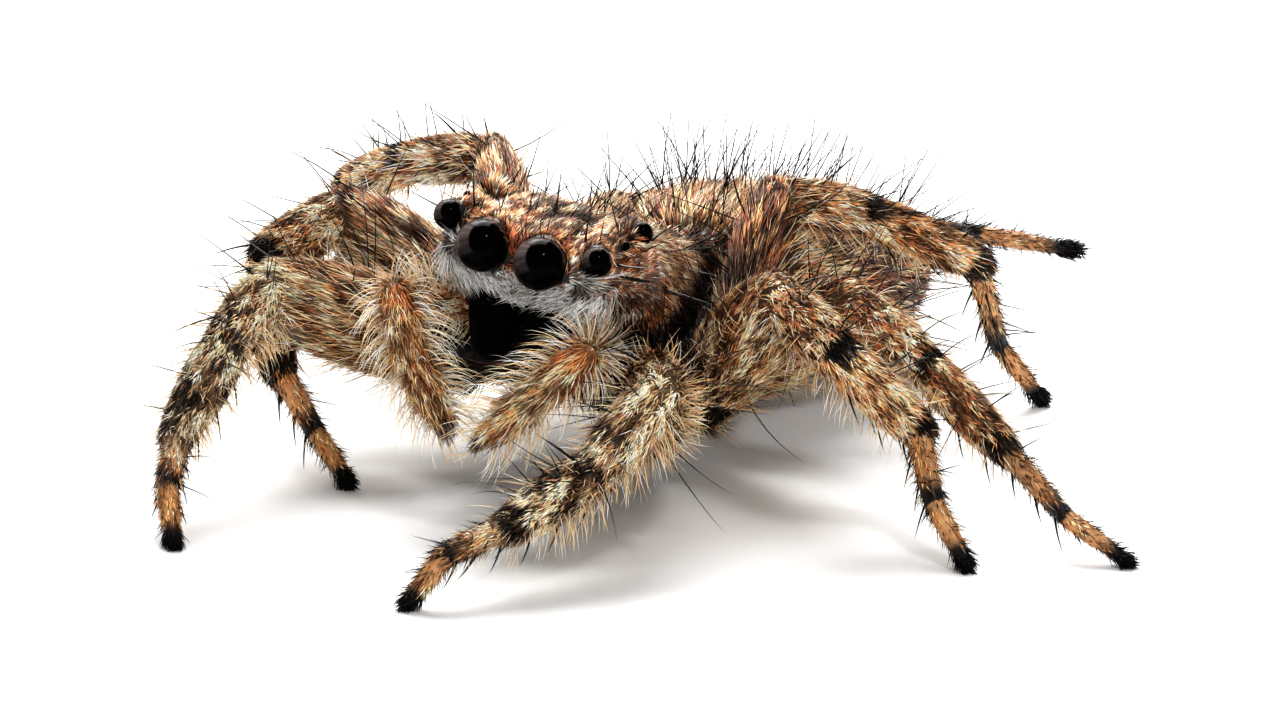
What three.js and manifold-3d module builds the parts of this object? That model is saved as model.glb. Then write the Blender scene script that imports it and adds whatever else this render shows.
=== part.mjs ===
// A jumping spider (tan jumping spider, adult female), standing, at life size.
//
// Millimetres. The floor is z = 0 and +Z is up. The spider faces -Y, and its own left is +X.
// Every solid reaches to the tips of its coat of hairs. Neighbouring solids part at thin cuts.

import * as THREE from "three";
import { mergeVertices } from "three/addons/utils/BufferGeometryUtils.js";
import Module from "manifold-3d";

const wasm = await Module();
wasm.setup();

// Driving dimensions ------------------------------------------------------------------------

const CUT = 0.02; // half the width of the cut at a joint
const CLEARANCE = 0.03; // kept round a solid where its neighbour is carved back from it
const CUTTER_SIZE = 12; // larger than any solid that it trims

const HEAD = { height: 2.85, pitch: 6.5, roll: 8 }; // the point between the main eyes, degrees

// Eyes in the head's own frame: the origin is between the main eyes, +Y runs to the tail.
const EYES = [
  { name: "main", x: 0.35, y: 0.03, z: 0, radius: 0.28, rings: 10 },
  { name: "side", x: 0.91, y: 0.24, z: 0.11, radius: 0.16, rings: 9 },
  { name: "tiny", x: 0.97, y: 0.7, z: 0.14, radius: 0.05, rings: 5 },
  { name: "rear", x: 0.93, y: 1.08, z: 0.13, radius: 0.125, rings: 8 },
];

// A socket is cut by a coarser ball, swollen so that its flats clear the eye.
const SOCKET = { rings: 6, slack: 1.06 };

// Sections of the trunk across its length: half width, and the top and bottom against the main
// eyes. The crown is flat as far as the rear eyes, and the back slopes down behind them.
const TRUNK = [
  { y: 0.0, wide: 0.84, top: 0.12, bottom: -0.55 },
  { y: 0.06, wide: 0.98, top: 0.22, bottom: -0.6 },
  { y: 0.3, wide: 1.12, top: 0.28, bottom: -0.78 },
  { y: 0.8, wide: 1.17, top: 0.29, bottom: -1.2 },
  { y: 1.12, wide: 1.16, top: 0.25, bottom: -1.6 },
  { y: 1.5, wide: 1.08, top: 0.02, bottom: -1.95 },
  { y: 2.1, wide: 0.95, top: -0.32, bottom: -2.1 },
  { y: 2.7, wide: 0.8, top: -0.62, bottom: -2.0 },
  { y: 3.2, wide: 0.64, top: -0.85, bottom: -1.75 },
  { y: 3.6, wide: 0.42, top: -1.0, bottom: -1.45 },
];
const TRUNK_SQUARENESS = 0.78; // below 1 squares off the round of a section
const ABDOMEN_SQUARENESS = 0.9;
const SIDES = { trunk: 20, abdomen: 18, leg: 9, coxa: 6, palp: 8, small: 6 };

const COXA = { inner: 0.35, level: -1.75, radius: 0.35, endRadius: 0.3 };
const HIPS = [
  { x: 1.08, y: 1.2, z: -1.95 },
  { x: 1.25, y: 1.95, z: -2 },
  { x: 1.25, y: 2.5, z: -1.95 },
  { x: 1.15, y: 2.9, z: -1.75 },
];

const ABDOMEN = {
  front: { x: 0, y: 3.65, z: 1.95 },
  length: 4.55,
  wide: 1.42,
  high: 0.8, // above its axis
  deep: 0.85, // below its axis
  bluntness: 0.65, // the power of the sine that its sections follow: less is blunter
  forwardSwell: 0.12, // how much fuller it is in front than in the middle
  droop: 15, // degrees
  swing: 5,
  roll: 7,
  rings: 12,
};
const PEDICEL = { radius: 0.3, length: 0.8 };
const SPINNERETS = { length: 0.5, radius: 0.13, spread: 0.12, sunk: 0.12, tipShare: 0.7 };

const CHELICERA = {
  top: { x: 0.34, y: 0.5, z: -0.35 },
  foot: { x: 0.32, y: 0.2, z: -1.24 },
  radius: 0.32,
  footRadius: 0.25,
};

// The feelers in the head's frame, for the left one: hip, knee, wrist and tip.
const PALP = {
  hip: { x: 0.78, y: 0.75, z: -1.12 },
  knee: { x: 1.16, y: -0.33, z: -0.68 },
  wrist: { x: 0.76, y: -0.68, z: -1.12 },
  tip: { x: 0.27, y: -0.95, z: -1.6 },
  sway: [0, 0, 0.05, 0.15], // how far each joint of both feelers swings to the left
};
const PALP_PARTS = [
  { name: "femur", start: 0.17, middle: 0.2, end: 0.22 },
  { name: "tibia", start: 0.24, middle: 0.28, end: 0.26 },
  { name: "tarsus", start: 0.25, middle: 0.24, end: 0.15 },
];

// Leg segments from hip to foot: radii in the coat at the start, middle and end, and how much
// deeper than wide the segment is.
const LEG_PARTS = [
  { name: "femur", start: 0.28, middle: 0.36, end: 0.29, depth: 1.5 },
  { name: "patella", start: 0.3, middle: 0.33, end: 0.29, depth: 1.08 },
  { name: "tibia", start: 0.29, middle: 0.31, end: 0.26, depth: 1.05 },
  { name: "metatarsus", start: 0.26, middle: 0.255, end: 0.25, depth: 1 },
  { name: "tarsus", start: 0.25, middle: 0.25, end: 0.25, depth: 1 },
];
// For each pair of legs: the segments' lengths, and how stout the leg is against the third pair.
const LEG_PAIRS = [
  { lengths: [2.32, 1.09, 1.2, 0.86, 0.72], stout: 1.12 },
  { lengths: [2.14, 1.08, 1.22, 0.92, 0.85], stout: 1.06 },
  { lengths: [2.05, 1.05, 1.3, 1.08, 0.93], stout: 0.94 },
  { lengths: [1.88, 1.05, 1.5, 1.4, 1.0], stout: 0.98 },
];
const THINNEST = 0.25; // no segment's radius is less

// The pose. A heading is in degrees forward of straight out to the leg's own side, and a rise
// in degrees above level, both from hip to foot. A tarsus with no rise of its own drops as far
// as the floor needs. The trailing foot of the right hind leg is lifted in mid stride.
const LEGS = [
  { side: "left", pair: 1, reach: 0.97, heading: [55, 103, 111, 116, 131], rise: [21, -34, -20, -13] },
  { side: "right", pair: 1, reach: 0.98, heading: [35, 99, 88, 115, 133], rise: [19, -15, -40, -27] },
  { side: "left", pair: 2, reach: 1, heading: [26, 26, -42, 44, 21], rise: [42, -16, -45, -42] },
  { side: "right", pair: 2, reach: 1, heading: [6, 76, 131, 158, 156], rise: [30, -14, -61, -38] },
  { side: "left", pair: 3, reach: 1, heading: [7, 15, 7, 14, -2], rise: [32, -24, -34, -31] },
  { side: "right", pair: 3, reach: 1, heading: [-45, 1, -22, -46, -46], rise: [37, -11, -23, -70] },
  { side: "left", pair: 4, reach: 0.9, heading: [-103, -38, -33, -96, -51], rise: [47, -10, -24, -61] },
  { side: "right", pair: 4, reach: 1.25, heading: [-75, -91, -117, -134, -151], rise: [1, -10, -10, -10, -9] },
];

// Finishes ----------------------------------------------------------------------------------

const FINISH = {
  coat: { color: 0x8d6f55, roughness: 0.85, metalness: 0 },
  legCoat: { color: 0xa5794f, roughness: 0.85, metalness: 0 },
  foot: { color: 0xc98a4e, roughness: 0.8, metalness: 0 },
  palpCoat: { color: 0xcdb48e, roughness: 0.85, metalness: 0 },
  eye: { color: 0x0b0a0a, roughness: 0.05, metalness: 0 },
  jaw: { color: 0x17120f, roughness: 0.35, metalness: 0 },
};

// Solids ------------------------------------------------------------------------------------

const radians = THREE.MathUtils.degToRad;
const CAP = Math.SQRT1_2; // a round end turns halfway through its quarter circle here

/** Turns a closed three.js geometry into a solid. */
function toSolid(geometry) {
  const bare = geometry.clone();
  bare.deleteAttribute("normal");
  bare.deleteAttribute("uv");
  const merged = mergeVertices(bare, 1e-5);
  const corners = merged.index.array;
  const kept = [];
  for (let i = 0; i < corners.length; i += 3) {
    const [a, b, c] = corners.slice(i, i + 3);
    if (a !== b && b !== c && c !== a) {
      kept.push(a, b, c);
    }
  }
  const vertProperties = new Float32Array(merged.attributes.position.array);
  return new wasm.Manifold(new wasm.Mesh({ numProp: 3, vertProperties, triVerts: new Uint32Array(kept) }));
}

/** Turns a solid back into a three.js geometry. */
function toGeometry(solid) {
  const mesh = solid.getMesh();
  const geometry = new THREE.BufferGeometry();
  geometry.setAttribute("position", new THREE.BufferAttribute(mesh.vertProperties, 3));
  geometry.setIndex(new THREE.BufferAttribute(mesh.triVerts, 1));
  geometry.computeVertexNormals();
  return geometry;
}

/** A frame at `origin` with Y along `along`, and Z as near up as it can be (or +Y, on a plumb line). */
function frameAlong(origin, along) {
  const y = along.clone().normalize();
  const isPlumb = Math.abs(y.z) > 0.999;
  const z = isPlumb ? new THREE.Vector3(0, 1, 0) : new THREE.Vector3(0, 0, 1);
  z.addScaledVector(y, -z.dot(y)).normalize();
  const x = new THREE.Vector3().crossVectors(y, z);
  return new THREE.Matrix4().makeBasis(x, y, z).setPosition(origin);
}

/** A round-ended limb from one point to another, `depth` times as deep as it is wide. */
function limb(from, to, { start, middle, end, depth = 1, sides = SIDES.leg, grow = 0 }) {
  const along = to.clone().sub(from);
  const length = along.length();
  const [a, m, b] = [start + grow, middle + grow, end + grow];
  const outline = [
    [0, -a],
    [a * CAP, -a * CAP],
    [a, 0],
    [m, length / 2],
    [b, length],
    [b * CAP, length + b * CAP],
    [0, length + b],
  ];
  const geometry = new THREE.LatheGeometry(outline.map(([r, y]) => new THREE.Vector2(r, y)), sides);
  geometry.scale(1, 1, depth);
  geometry.applyMatrix4(frameAlong(from, along));
  return toSolid(geometry);
}

/** A body of rounded sections strung along Y, each with its own half width, top and bottom. */
function loft(stations, sides, squareness) {
  const ends = [{ ...stations[0], wide: 0 }, ...stations, { ...stations.at(-1), wide: 0 }];
  const outline = ends.map(({ y, wide }) => new THREE.Vector2(wide, y));
  const geometry = new THREE.LatheGeometry(outline, sides);
  const position = geometry.attributes.position;
  for (let i = 0; i < position.count; i += 1) {
    const { wide, top, bottom } = ends[i % ends.length];
    const level = (top + bottom) / 2;
    if (wide > 0) {
      const angle = Math.atan2(position.getZ(i), position.getX(i));
      const across = Math.sign(Math.cos(angle)) * Math.abs(Math.cos(angle)) ** squareness;
      const height = Math.sign(Math.sin(angle)) * Math.abs(Math.sin(angle)) ** squareness;
      position.setX(i, wide * across);
      position.setZ(i, level + (height * (top - bottom)) / 2);
    } else {
      position.setZ(i, level);
    }
  }
  return geometry;
}

/** Cuts away everything on the far side of a plane, and `CUT` more. */
function trim(solid, point, normal) {
  const cutter = new THREE.BoxGeometry(CUTTER_SIZE, CUTTER_SIZE, CUTTER_SIZE);
  const away = normal.clone().normalize();
  const centre = point.clone().addScaledVector(away, CUTTER_SIZE / 2 - CUT);
  cutter.applyMatrix4(frameAlong(centre, away));
  return solid.subtract(toSolid(cutter));
}

/** The direction that halves the bend between two segments. */
function halfway(before, after) {
  return before.clone().normalize().add(after.clone().normalize());
}

const plumb = new THREE.Vector3(0, 0, -1);

/** Cuts off what would reach below the floor under a place. */
function standOnFloor(solid, place) {
  return trim(solid, new THREE.Vector3(place.x, place.y, -CUT), plumb);
}

// Places ------------------------------------------------------------------------------------

const headFrame = new THREE.Matrix4()
  .makeRotationFromEuler(new THREE.Euler(radians(HEAD.pitch), radians(HEAD.roll), 0))
  .setPosition(0, 0, HEAD.height);

/** A point of the head's frame in the spider's frame; `side` is 1 for left and -1 for right. */
function inHead({ x, y, z }, side = 1) {
  return new THREE.Vector3(side * x, y, z).applyMatrix4(headFrame);
}

function hip(pair, side) {
  return inHead(HIPS[pair - 1], side);
}

function outwardOf(leg) {
  return leg.side === "left" ? 1 : -1;
}

/** The leg's joints from hip to foot. */
function legJoints(leg) {
  const { pair, reach, heading, rise } = leg;
  const outward = outwardOf(leg);
  const joints = [hip(pair, outward)];
  LEG_PAIRS[pair - 1].lengths.forEach((bare, k) => {
    const length = bare * reach;
    const last = joints.at(-1);
    const climb = k < rise.length ? length * Math.sin(radians(rise[k])) : -last.z;
    const level = Math.sqrt(length ** 2 - climb ** 2);
    const turn = radians(heading[k]);
    joints.push(
      last.clone().add(new THREE.Vector3(outward * level * Math.cos(turn), -level * Math.sin(turn), climb)),
    );
  });
  return joints;
}

// Parts -------------------------------------------------------------------------------------

const spider = new THREE.Group();
const finished = []; // solids that later ones are carved back from, grown by the clearance

function addPart(name, solid, finish) {
  const mesh = new THREE.Mesh(toGeometry(solid), new THREE.MeshStandardMaterial(FINISH[finish]));
  mesh.name = name;
  spider.add(mesh);
}

/** Takes the finished neighbours out of a solid, with the clearance round them. */
function carve(solid, neighbours = finished) {
  return neighbours.reduce((left, neighbour) => left.subtract(neighbour), solid);
}

function addEyes() {
  for (const { name, x, y, z, radius, rings } of EYES) {
    for (const [sideName, side] of [["left", 1], ["right", -1]]) {
      const ball = (r, rows) => {
        const geometry = new THREE.SphereGeometry(r, Math.round(rows * 1.4), rows);
        geometry.translate(side * x, y, z);
        geometry.applyMatrix4(headFrame);
        return toSolid(geometry);
      };
      addPart(`eye_${name}_${sideName}`, ball(radius, rings), "eye");
      finished.push(ball(radius * SOCKET.slack + CLEARANCE, SOCKET.rings));
    }
  }
}

function addLeg(leg) {
  const joints = legJoints(leg);
  const { stout } = LEG_PAIRS[leg.pair - 1];
  const along = joints.slice(1).map((joint, k) => joint.clone().sub(joints[k]));
  const intoHip = hipAxis(leg.pair, outwardOf(leg));
  const grown = [];
  LEG_PARTS.forEach((part, k) => {
    const radius = (r) => Math.max(r * stout, THINNEST);
    const shape = {
      depth: part.depth,
      start: radius(part.start),
      middle: radius(part.middle),
      end: radius(part.end),
    };
    const isFoot = k === LEG_PARTS.length - 1;
    const to = joints[k + 1].clone();
    if (isFoot) {
      to.addScaledVector(along[k].clone().normalize(), -shape.end);
    }
    const trimmed = (grow) => {
      let solid = limb(joints[k], to, { ...shape, grow });
      solid = trim(solid, joints[k], halfway(k === 0 ? intoHip : along[k - 1], along[k]).negate());
      if (!isFoot) {
        solid = trim(solid, joints[k + 1], halfway(along[k], along[k + 1]));
      }
      return solid;
    };
    const solid = carve(trimmed(0));
    addPart(`leg_${leg.side}_${leg.pair}_${part.name}`, isFoot ? standOnFloor(solid, to) : solid,
      isFoot ? "foot" : "legCoat");
    grown.push(trimmed(CLEARANCE));
  });
  finished.push(...grown);
}

/** The direction in which a coxa runs out to its hip. */
function hipAxis(pair, side) {
  return hip(pair, side).sub(coxaRoot(pair, side));
}

function coxaRoot(pair, side) {
  return inHead({ x: COXA.inner, y: HIPS[pair - 1].y, z: COXA.level }, side);
}

function addPalp(sideName, side) {
  const joints = [PALP.hip, PALP.knee, PALP.wrist, PALP.tip].map((place, k) =>
    inHead({ ...place, x: place.x + side * PALP.sway[k] }, side),
  );
  const along = joints.slice(1).map((joint, k) => joint.clone().sub(joints[k]));
  const grown = [];
  PALP_PARTS.forEach((part, k) => {
    const trimmed = (grow) => {
      let solid = limb(joints[k], joints[k + 1], { ...part, sides: SIDES.palp, grow });
      if (k > 0) {
        solid = trim(solid, joints[k], halfway(along[k - 1], along[k]).negate());
      }
      if (k < PALP_PARTS.length - 1) {
        solid = trim(solid, joints[k + 1], halfway(along[k], along[k + 1]));
      }
      return solid;
    };
    addPart(`palp_${sideName}_${part.name}`, carve(trimmed(0)), "palpCoat");
    grown.push(trimmed(CLEARANCE));
  });
  finished.push(...grown);
}

function addChelicera(sideName, side) {
  const { top, foot, radius, footRadius } = CHELICERA;
  const shape = (grow) =>
    limb(inHead(top, side), inHead(foot, side), { start: radius, middle: radius, end: footRadius, grow });
  addPart(`chelicera_${sideName}`, carve(shape(0)), "jaw");
  finished.push(shape(CLEARANCE));
}

const waist = new THREE.Vector3(ABDOMEN.front.x, ABDOMEN.front.y, ABDOMEN.front.z);
const tailward = new THREE.Vector3(0, 1, 0).applyEuler(
  new THREE.Euler(radians(-ABDOMEN.droop), 0, radians(ABDOMEN.swing), "ZYX"),
);

function addCephalothorax() {
  const geometry = loft(TRUNK, SIDES.trunk, TRUNK_SQUARENESS);
  geometry.applyMatrix4(headFrame);
  let solid = toSolid(geometry);
  for (const pair of [1, 2, 3, 4]) {
    for (const side of [1, -1]) {
      const { radius, endRadius } = COXA;
      const shape = { start: radius, middle: radius, end: endRadius, sides: SIDES.coxa };
      const coxa = limb(coxaRoot(pair, side), hip(pair, side), shape);
      const leg = LEGS.find((each) => each.pair === pair && outwardOf(each) === side);
      const femur = legJoints(leg)[1].sub(hip(pair, side));
      solid = solid.add(trim(coxa, hip(pair, side), halfway(hipAxis(pair, side), femur)));
    }
  }
  addPart("cephalothorax", carve(trim(solid, waist, tailward)), "coat");
}

/** The abdomen's sections: an oval, blunt in front and drawn out behind. */
function abdomenSections() {
  const { length, wide, high, deep, bluntness, forwardSwell, rings } = ABDOMEN;
  const sections = [];
  for (let i = 1; i < rings; i += 1) {
    const angle = (Math.PI * i) / rings;
    const swell = Math.sin(angle) ** bluntness * (1 + forwardSwell * Math.cos(angle));
    sections.push({
      y: (length * (1 - Math.cos(angle))) / 2,
      wide: wide * swell,
      top: high * swell,
      bottom: -deep * swell,
    });
  }
  return sections;
}

function addAbdomen() {
  const geometry = loft(abdomenSections(), SIDES.abdomen, ABDOMEN_SQUARENESS);
  geometry.rotateY(radians(ABDOMEN.roll));
  geometry.applyMatrix4(frameAlong(waist, tailward));
  const waistEnd = waist.clone().addScaledVector(tailward, PEDICEL.length);
  const { radius } = PEDICEL;
  const pedicel = limb(waist, waistEnd, { start: radius, middle: radius, end: radius });
  const body = toSolid(geometry).add(pedicel);
  const tail = waist.clone().addScaledVector(tailward, ABDOMEN.length - SPINNERETS.sunk);
  addPart("abdomen", carve(trim(trim(body, waist, tailward.clone().negate()), tail, tailward)), "coat");

  let cluster = null;
  for (const [x, z] of [[1, 0.5], [-1, 0.5], [0, -1]]) {
    const { length: reach, radius: girth, spread, tipShare } = SPINNERETS;
    const root = tail.clone().add(new THREE.Vector3(x * spread, 0, z * spread));
    const tip = root.clone().addScaledVector(tailward, reach - girth);
    const tube = limb(root, tip, { start: girth, middle: girth, end: girth * tipShare, sides: SIDES.small });
    cluster = cluster ? cluster.add(tube) : tube;
  }
  addPart("spinnerets", carve(trim(cluster, tail, tailward.clone().negate())), "jaw");
}

addEyes();
LEGS.forEach(addLeg);
addPalp("left", 1);
addPalp("right", -1);
addChelicera("left", 1);
addChelicera("right", -1);
addCephalothorax();
addAbdomen();

// The origin is on the floor, under the middle of the whole animal.
const extent = new THREE.Box3().setFromObject(spider);
spider.position.set(-(extent.min.x + extent.max.x) / 2, -(extent.min.y + extent.max.y) / 2, 0);
spider.updateMatrixWorld(true);

export default spider;
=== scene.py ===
# %% [markdown]
# # A tan jumping spider, life size
#
# The real animal is about nine millimetres long, so everything below is worked out in
# millimetres and turned into metres once, when a mesh is made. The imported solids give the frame:
# where each part of the body is. This script dresses them: one skin over the whole body, a coat
# of hairs rooted on that skin, glossy eyes and dull jaws, then light and a camera.

# %% The frame
import math

import bpy
import numpy as np
from mathutils import Matrix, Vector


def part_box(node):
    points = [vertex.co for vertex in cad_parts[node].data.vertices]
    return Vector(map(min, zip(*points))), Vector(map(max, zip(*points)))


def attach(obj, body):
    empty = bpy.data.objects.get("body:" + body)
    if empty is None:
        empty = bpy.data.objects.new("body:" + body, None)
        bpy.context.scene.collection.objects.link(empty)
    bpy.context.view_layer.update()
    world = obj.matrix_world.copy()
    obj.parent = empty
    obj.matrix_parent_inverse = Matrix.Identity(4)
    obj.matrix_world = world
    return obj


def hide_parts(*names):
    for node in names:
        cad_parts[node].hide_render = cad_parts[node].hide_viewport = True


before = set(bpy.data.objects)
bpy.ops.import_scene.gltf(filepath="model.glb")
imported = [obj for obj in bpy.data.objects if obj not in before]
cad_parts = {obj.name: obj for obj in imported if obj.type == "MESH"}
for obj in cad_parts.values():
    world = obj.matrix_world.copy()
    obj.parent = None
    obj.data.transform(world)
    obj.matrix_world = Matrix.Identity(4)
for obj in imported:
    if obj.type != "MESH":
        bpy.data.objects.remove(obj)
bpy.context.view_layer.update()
MM = 0.001
SIDES = ((1, "left"), (-1, "right"))
chance = np.random.default_rng(20)


# %% [markdown]
# ## The body's measures
#
# These repeat the driving dimensions of the solids: where the eyes, hips and feelers sit, how
# long each leg segment is and how each joint is bent. The skin is slimmer than the solids by the
# depth of the coat, so it has radii of its own.

# %% The body's measures
HEAD_HEIGHT, HEAD_PITCH, HEAD_ROLL = 2.85, 6.5, 8.0
EYES = {
    "main": ((0.35, 0.03, 0.0), 0.28, (0.05, -1.0, 0.02)),
    "side": ((0.91, 0.24, 0.11), 0.16, (0.5, -0.85, 0.1)),
    "tiny": ((0.97, 0.7, 0.14), 0.05, (0.85, -0.2, 0.45)),
    "rear": ((0.93, 1.08, 0.13), 0.125, (0.8, 0.15, 0.55)),
}
TRUNK = np.array(
    [
        # along, half width, top and bottom against the main eyes
        (0.00, 0.84, 0.12, -0.55),
        (0.06, 0.98, 0.22, -0.60),
        (0.30, 1.12, 0.28, -0.78),
        (0.80, 1.17, 0.29, -1.20),
        (1.12, 1.16, 0.25, -1.60),
        (1.50, 1.08, 0.02, -1.95),
        (2.10, 0.95, -0.32, -2.10),
        (2.70, 0.80, -0.62, -2.00),
        (3.20, 0.64, -0.85, -1.75),
        (3.60, 0.42, -1.00, -1.45),
    ]
)
TRUNK_SQUARENESS, ABDOMEN_SQUARENESS = 0.78, 0.9
TRUNK_COAT, ABDOMEN_COAT = 0.09, 0.12  # how deep the coat is over the skin
HIPS = {1: (1.08, 1.2, -1.95), 2: (1.25, 1.95, -2.0), 3: (1.25, 2.5, -1.95), 4: (1.15, 2.9, -1.75)}
COXA_INNER, COXA_LEVEL, COXA_RADIUS = 0.35, -1.75, 0.27
WAIST = np.array((0.0, 3.65, 1.95))
ABDOMEN_LENGTH, ABDOMEN_WIDE, ABDOMEN_HIGH, ABDOMEN_DEEP = 4.55, 1.42, 0.8, 0.85
ABDOMEN_BLUNTNESS, ABDOMEN_FORWARD_SWELL = 0.65, 0.12
ABDOMEN_DROOP, ABDOMEN_SWING, ABDOMEN_ROLL = 15.0, 5.0, 7.0
PALP = ((0.78, 0.75, -1.12), (1.16, -0.33, -0.68), (0.76, -0.68, -1.12), (0.27, -0.95, -1.6))
PALP_SWAY = (0.0, 0.0, 0.05, 0.15)  # how far each joint of both feelers swings to the left
PALP_SKIN = ((0.11, 0.12, 0.14), (0.15, 0.18, 0.17), (0.16, 0.17, 0.09))
CHELICERA = ((0.34, 0.5, -0.35), (0.32, 0.26, -1.18), 0.31, 0.22)
SEGMENTS = ("femur", "patella", "tibia", "metatarsus", "tarsus")
LEG_SKIN = (
    # start, middle and end radius, and depth against width
    (0.2, 0.275, 0.2, 1.62),
    (0.205, 0.235, 0.19, 1.1),
    (0.19, 0.215, 0.16, 1.05),
    (0.135, 0.12, 0.105, 1.0),
    (0.105, 0.1, 0.07, 1.0),
)
LEG_LENGTHS = {
    1: (2.32, 1.09, 1.2, 0.86, 0.72),
    2: (2.14, 1.08, 1.22, 0.92, 0.85),
    3: (2.05, 1.05, 1.3, 1.08, 0.93),
    4: (1.88, 1.05, 1.5, 1.4, 1.0),
}
STOUT = {1: 1.12, 2: 1.06, 3: 0.94, 4: 0.98}
LEGS = (
    # side (1 is left), pair, reach, headings forward of straight out, rises
    (1, 1, 0.97, (55, 103, 111, 116, 131), (21, -34, -20, -13)),
    (-1, 1, 0.98, (35, 99, 88, 115, 133), (19, -15, -40, -27)),
    (1, 2, 1.0, (26, 26, -42, 44, 21), (42, -16, -45, -42)),
    (-1, 2, 1.0, (6, 76, 131, 158, 156), (30, -14, -61, -38)),
    (1, 3, 1.0, (7, 15, 7, 14, -2), (32, -24, -34, -31)),
    (-1, 3, 1.0, (-45, 1, -22, -46, -46), (37, -11, -23, -70)),
    (1, 4, 0.9, (-103, -38, -33, -96, -51), (47, -10, -24, -61)),
    (-1, 4, 1.25, (-75, -91, -117, -134, -151), (1, -10, -10, -10, -9)),
)
LEFT_HIND = 6  # the row of the left hind leg, whose femur is darkened with painted shade
FEELER = len(LEGS)  # the feelers are numbered after the legs
FOOT_LIFT = 0.09  # the tip of the tarsus's flesh above the floor: the claw tuft fills the rest

# %% Places on the body


def turn(axis, degrees):
    """The matrix of a turn about one axis: the other two axes mix by cosine and sine."""
    c, s = math.cos(math.radians(degrees)), math.sin(math.radians(degrees))
    i, j = {"x": (1, 2), "y": (2, 0), "z": (0, 1)}[axis]
    matrix = np.eye(3)
    matrix[i, i], matrix[i, j], matrix[j, i], matrix[j, j] = c, -s, s, c
    return matrix


def unit(vectors):
    """Each vector over its own length."""
    vectors = np.asarray(vectors, float)
    return vectors / np.maximum(np.linalg.norm(vectors, axis=-1, keepdims=True), 1e-9)


HEAD_TURN = turn("x", HEAD_PITCH) @ turn("y", HEAD_ROLL)


def in_head(place, side=1):
    """A place in the head's frame, mirrored to the right when side is -1, in the spider's frame."""
    x, y, z = place
    return HEAD_TURN @ np.array((side * x, y, z)) + np.array((0.0, 0.0, HEAD_HEIGHT))


low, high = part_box("eye_main_left")
eye_centre = (np.array(low) + np.array(high)) / 2 / MM
SHIFT = eye_centre - in_head(EYES["main"][0])
print("the frame's origin from the face's, mm", -SHIFT.round(3))
EYE_BALLS = [
    # name, side, centre, radius and the way it looks
    (eye, side, in_head(place, side[0]) + SHIFT, radius, HEAD_TURN @ (unit(look) * (side[0], 1, 1)))
    for eye, (place, radius, look) in EYES.items()
    for side in SIDES
]


def hip(pair, side):
    """Where a coxa ends and its leg begins."""
    return in_head(HIPS[pair], side)


def leg_joints(side, pair, reach, headings, rises):
    """The leg's six joints: each segment adds its length along its heading and rise.

    A tarsus with no rise of its own drops to the floor."""
    joints = [hip(pair, side)]
    for k, bare in enumerate(LEG_LENGTHS[pair]):
        length = bare * reach
        climb = length * math.sin(math.radians(rises[k])) if k < len(rises) else -joints[-1][2]
        level = math.sqrt(length**2 - climb**2)
        heading = math.radians(headings[k])
        stride = (side * level * math.cos(heading), -level * math.sin(heading), climb)
        joints.append(joints[-1] + np.array(stride))
    return joints


def frame_along(along):
    """Three unit rows: across, along and dorsal, the last as near straight up as it can be."""
    y = unit(along)
    up = np.array((0.0, 0.0, 1.0)) if abs(y[2]) < 0.999 else np.array((0.0, 1.0, 0.0))
    z = unit(up - y * up.dot(y))
    return np.array((np.cross(y, z), y, z))


# %% [markdown]
# ## Forms: the shapes that make up the body
#
# An arthropod's body is a chain of shells. Each leg segment, feeler joint and coxa here is a
# *limb*: a round-ended spindle between two joints. The trunk and abdomen are *lofts*: rounded
# sections strung along an axis. Each form can do two things: give its surface as a grid of
# points, and tell how far any point in space is from that surface. The grids are merged into one
# skin, and the distances tell later which part of the body a spot of skin belongs to.

# %% Limbs


def spun(r, y, around, depth=1.0):
    """An outline of radii and heights turned about Y, from the dorsal line round."""
    angle = np.linspace(0, 2 * np.pi, around, endpoint=False)
    across, dorsal = r[:, None] * np.sin(angle), r[:, None] * np.cos(angle) * depth
    return np.stack((across, np.repeat(y[:, None], around, 1), dorsal), -1)


class Limb:
    """A spindle from a to b: its radius is the parabola through start, middle and end."""

    def __init__(self, name, a, b, radii, depth=1.0, leg=None, part=None):
        self.name, self.leg, self.part = name, leg, part
        self.a, self.length = np.array(a), float(np.linalg.norm(np.array(b) - a))
        self.axes = frame_along(np.array(b) - a)
        self.radii, self.depth = radii, depth

    def radius(self, t):
        start, middle, end = self.radii
        return start * (1 - t) * (1 - 2 * t) + middle * 4 * t * (1 - t) + end * t * (2 * t - 1)

    def grid(self, along=14, around=20, cap=5):
        """Quarter circle, parabola, quarter circle, all spun about the axis."""
        quarter = np.linspace(0, np.pi / 2, cap, endpoint=False)
        t = np.linspace(0, 1, along)
        start, _, end = self.radii
        c, s, tip = np.cos(quarter), np.sin(quarter), self.length + end
        y = np.concatenate((-start * c, t * self.length, self.length + end * s[1:], [tip]))
        r = np.concatenate((start * s, self.radius(t), end * c[1:], [0.0]))
        return self.a + spun(r, y, around, self.depth) @ self.axes

    def measure(self, points):
        """Distance to the surface, share of the length, and angle round from the dorsal line."""
        local = (points - self.a) @ self.axes.T
        x, y, z = local[:, 0], local[:, 1], local[:, 2] / self.depth
        t = np.clip(y / self.length, 0, 1)
        beyond = np.maximum(0, np.maximum(-y, y - self.length))
        return np.hypot(np.hypot(x, z), beyond) - self.radius(t), t, np.arctan2(x, z)


# %% Lofts


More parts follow.
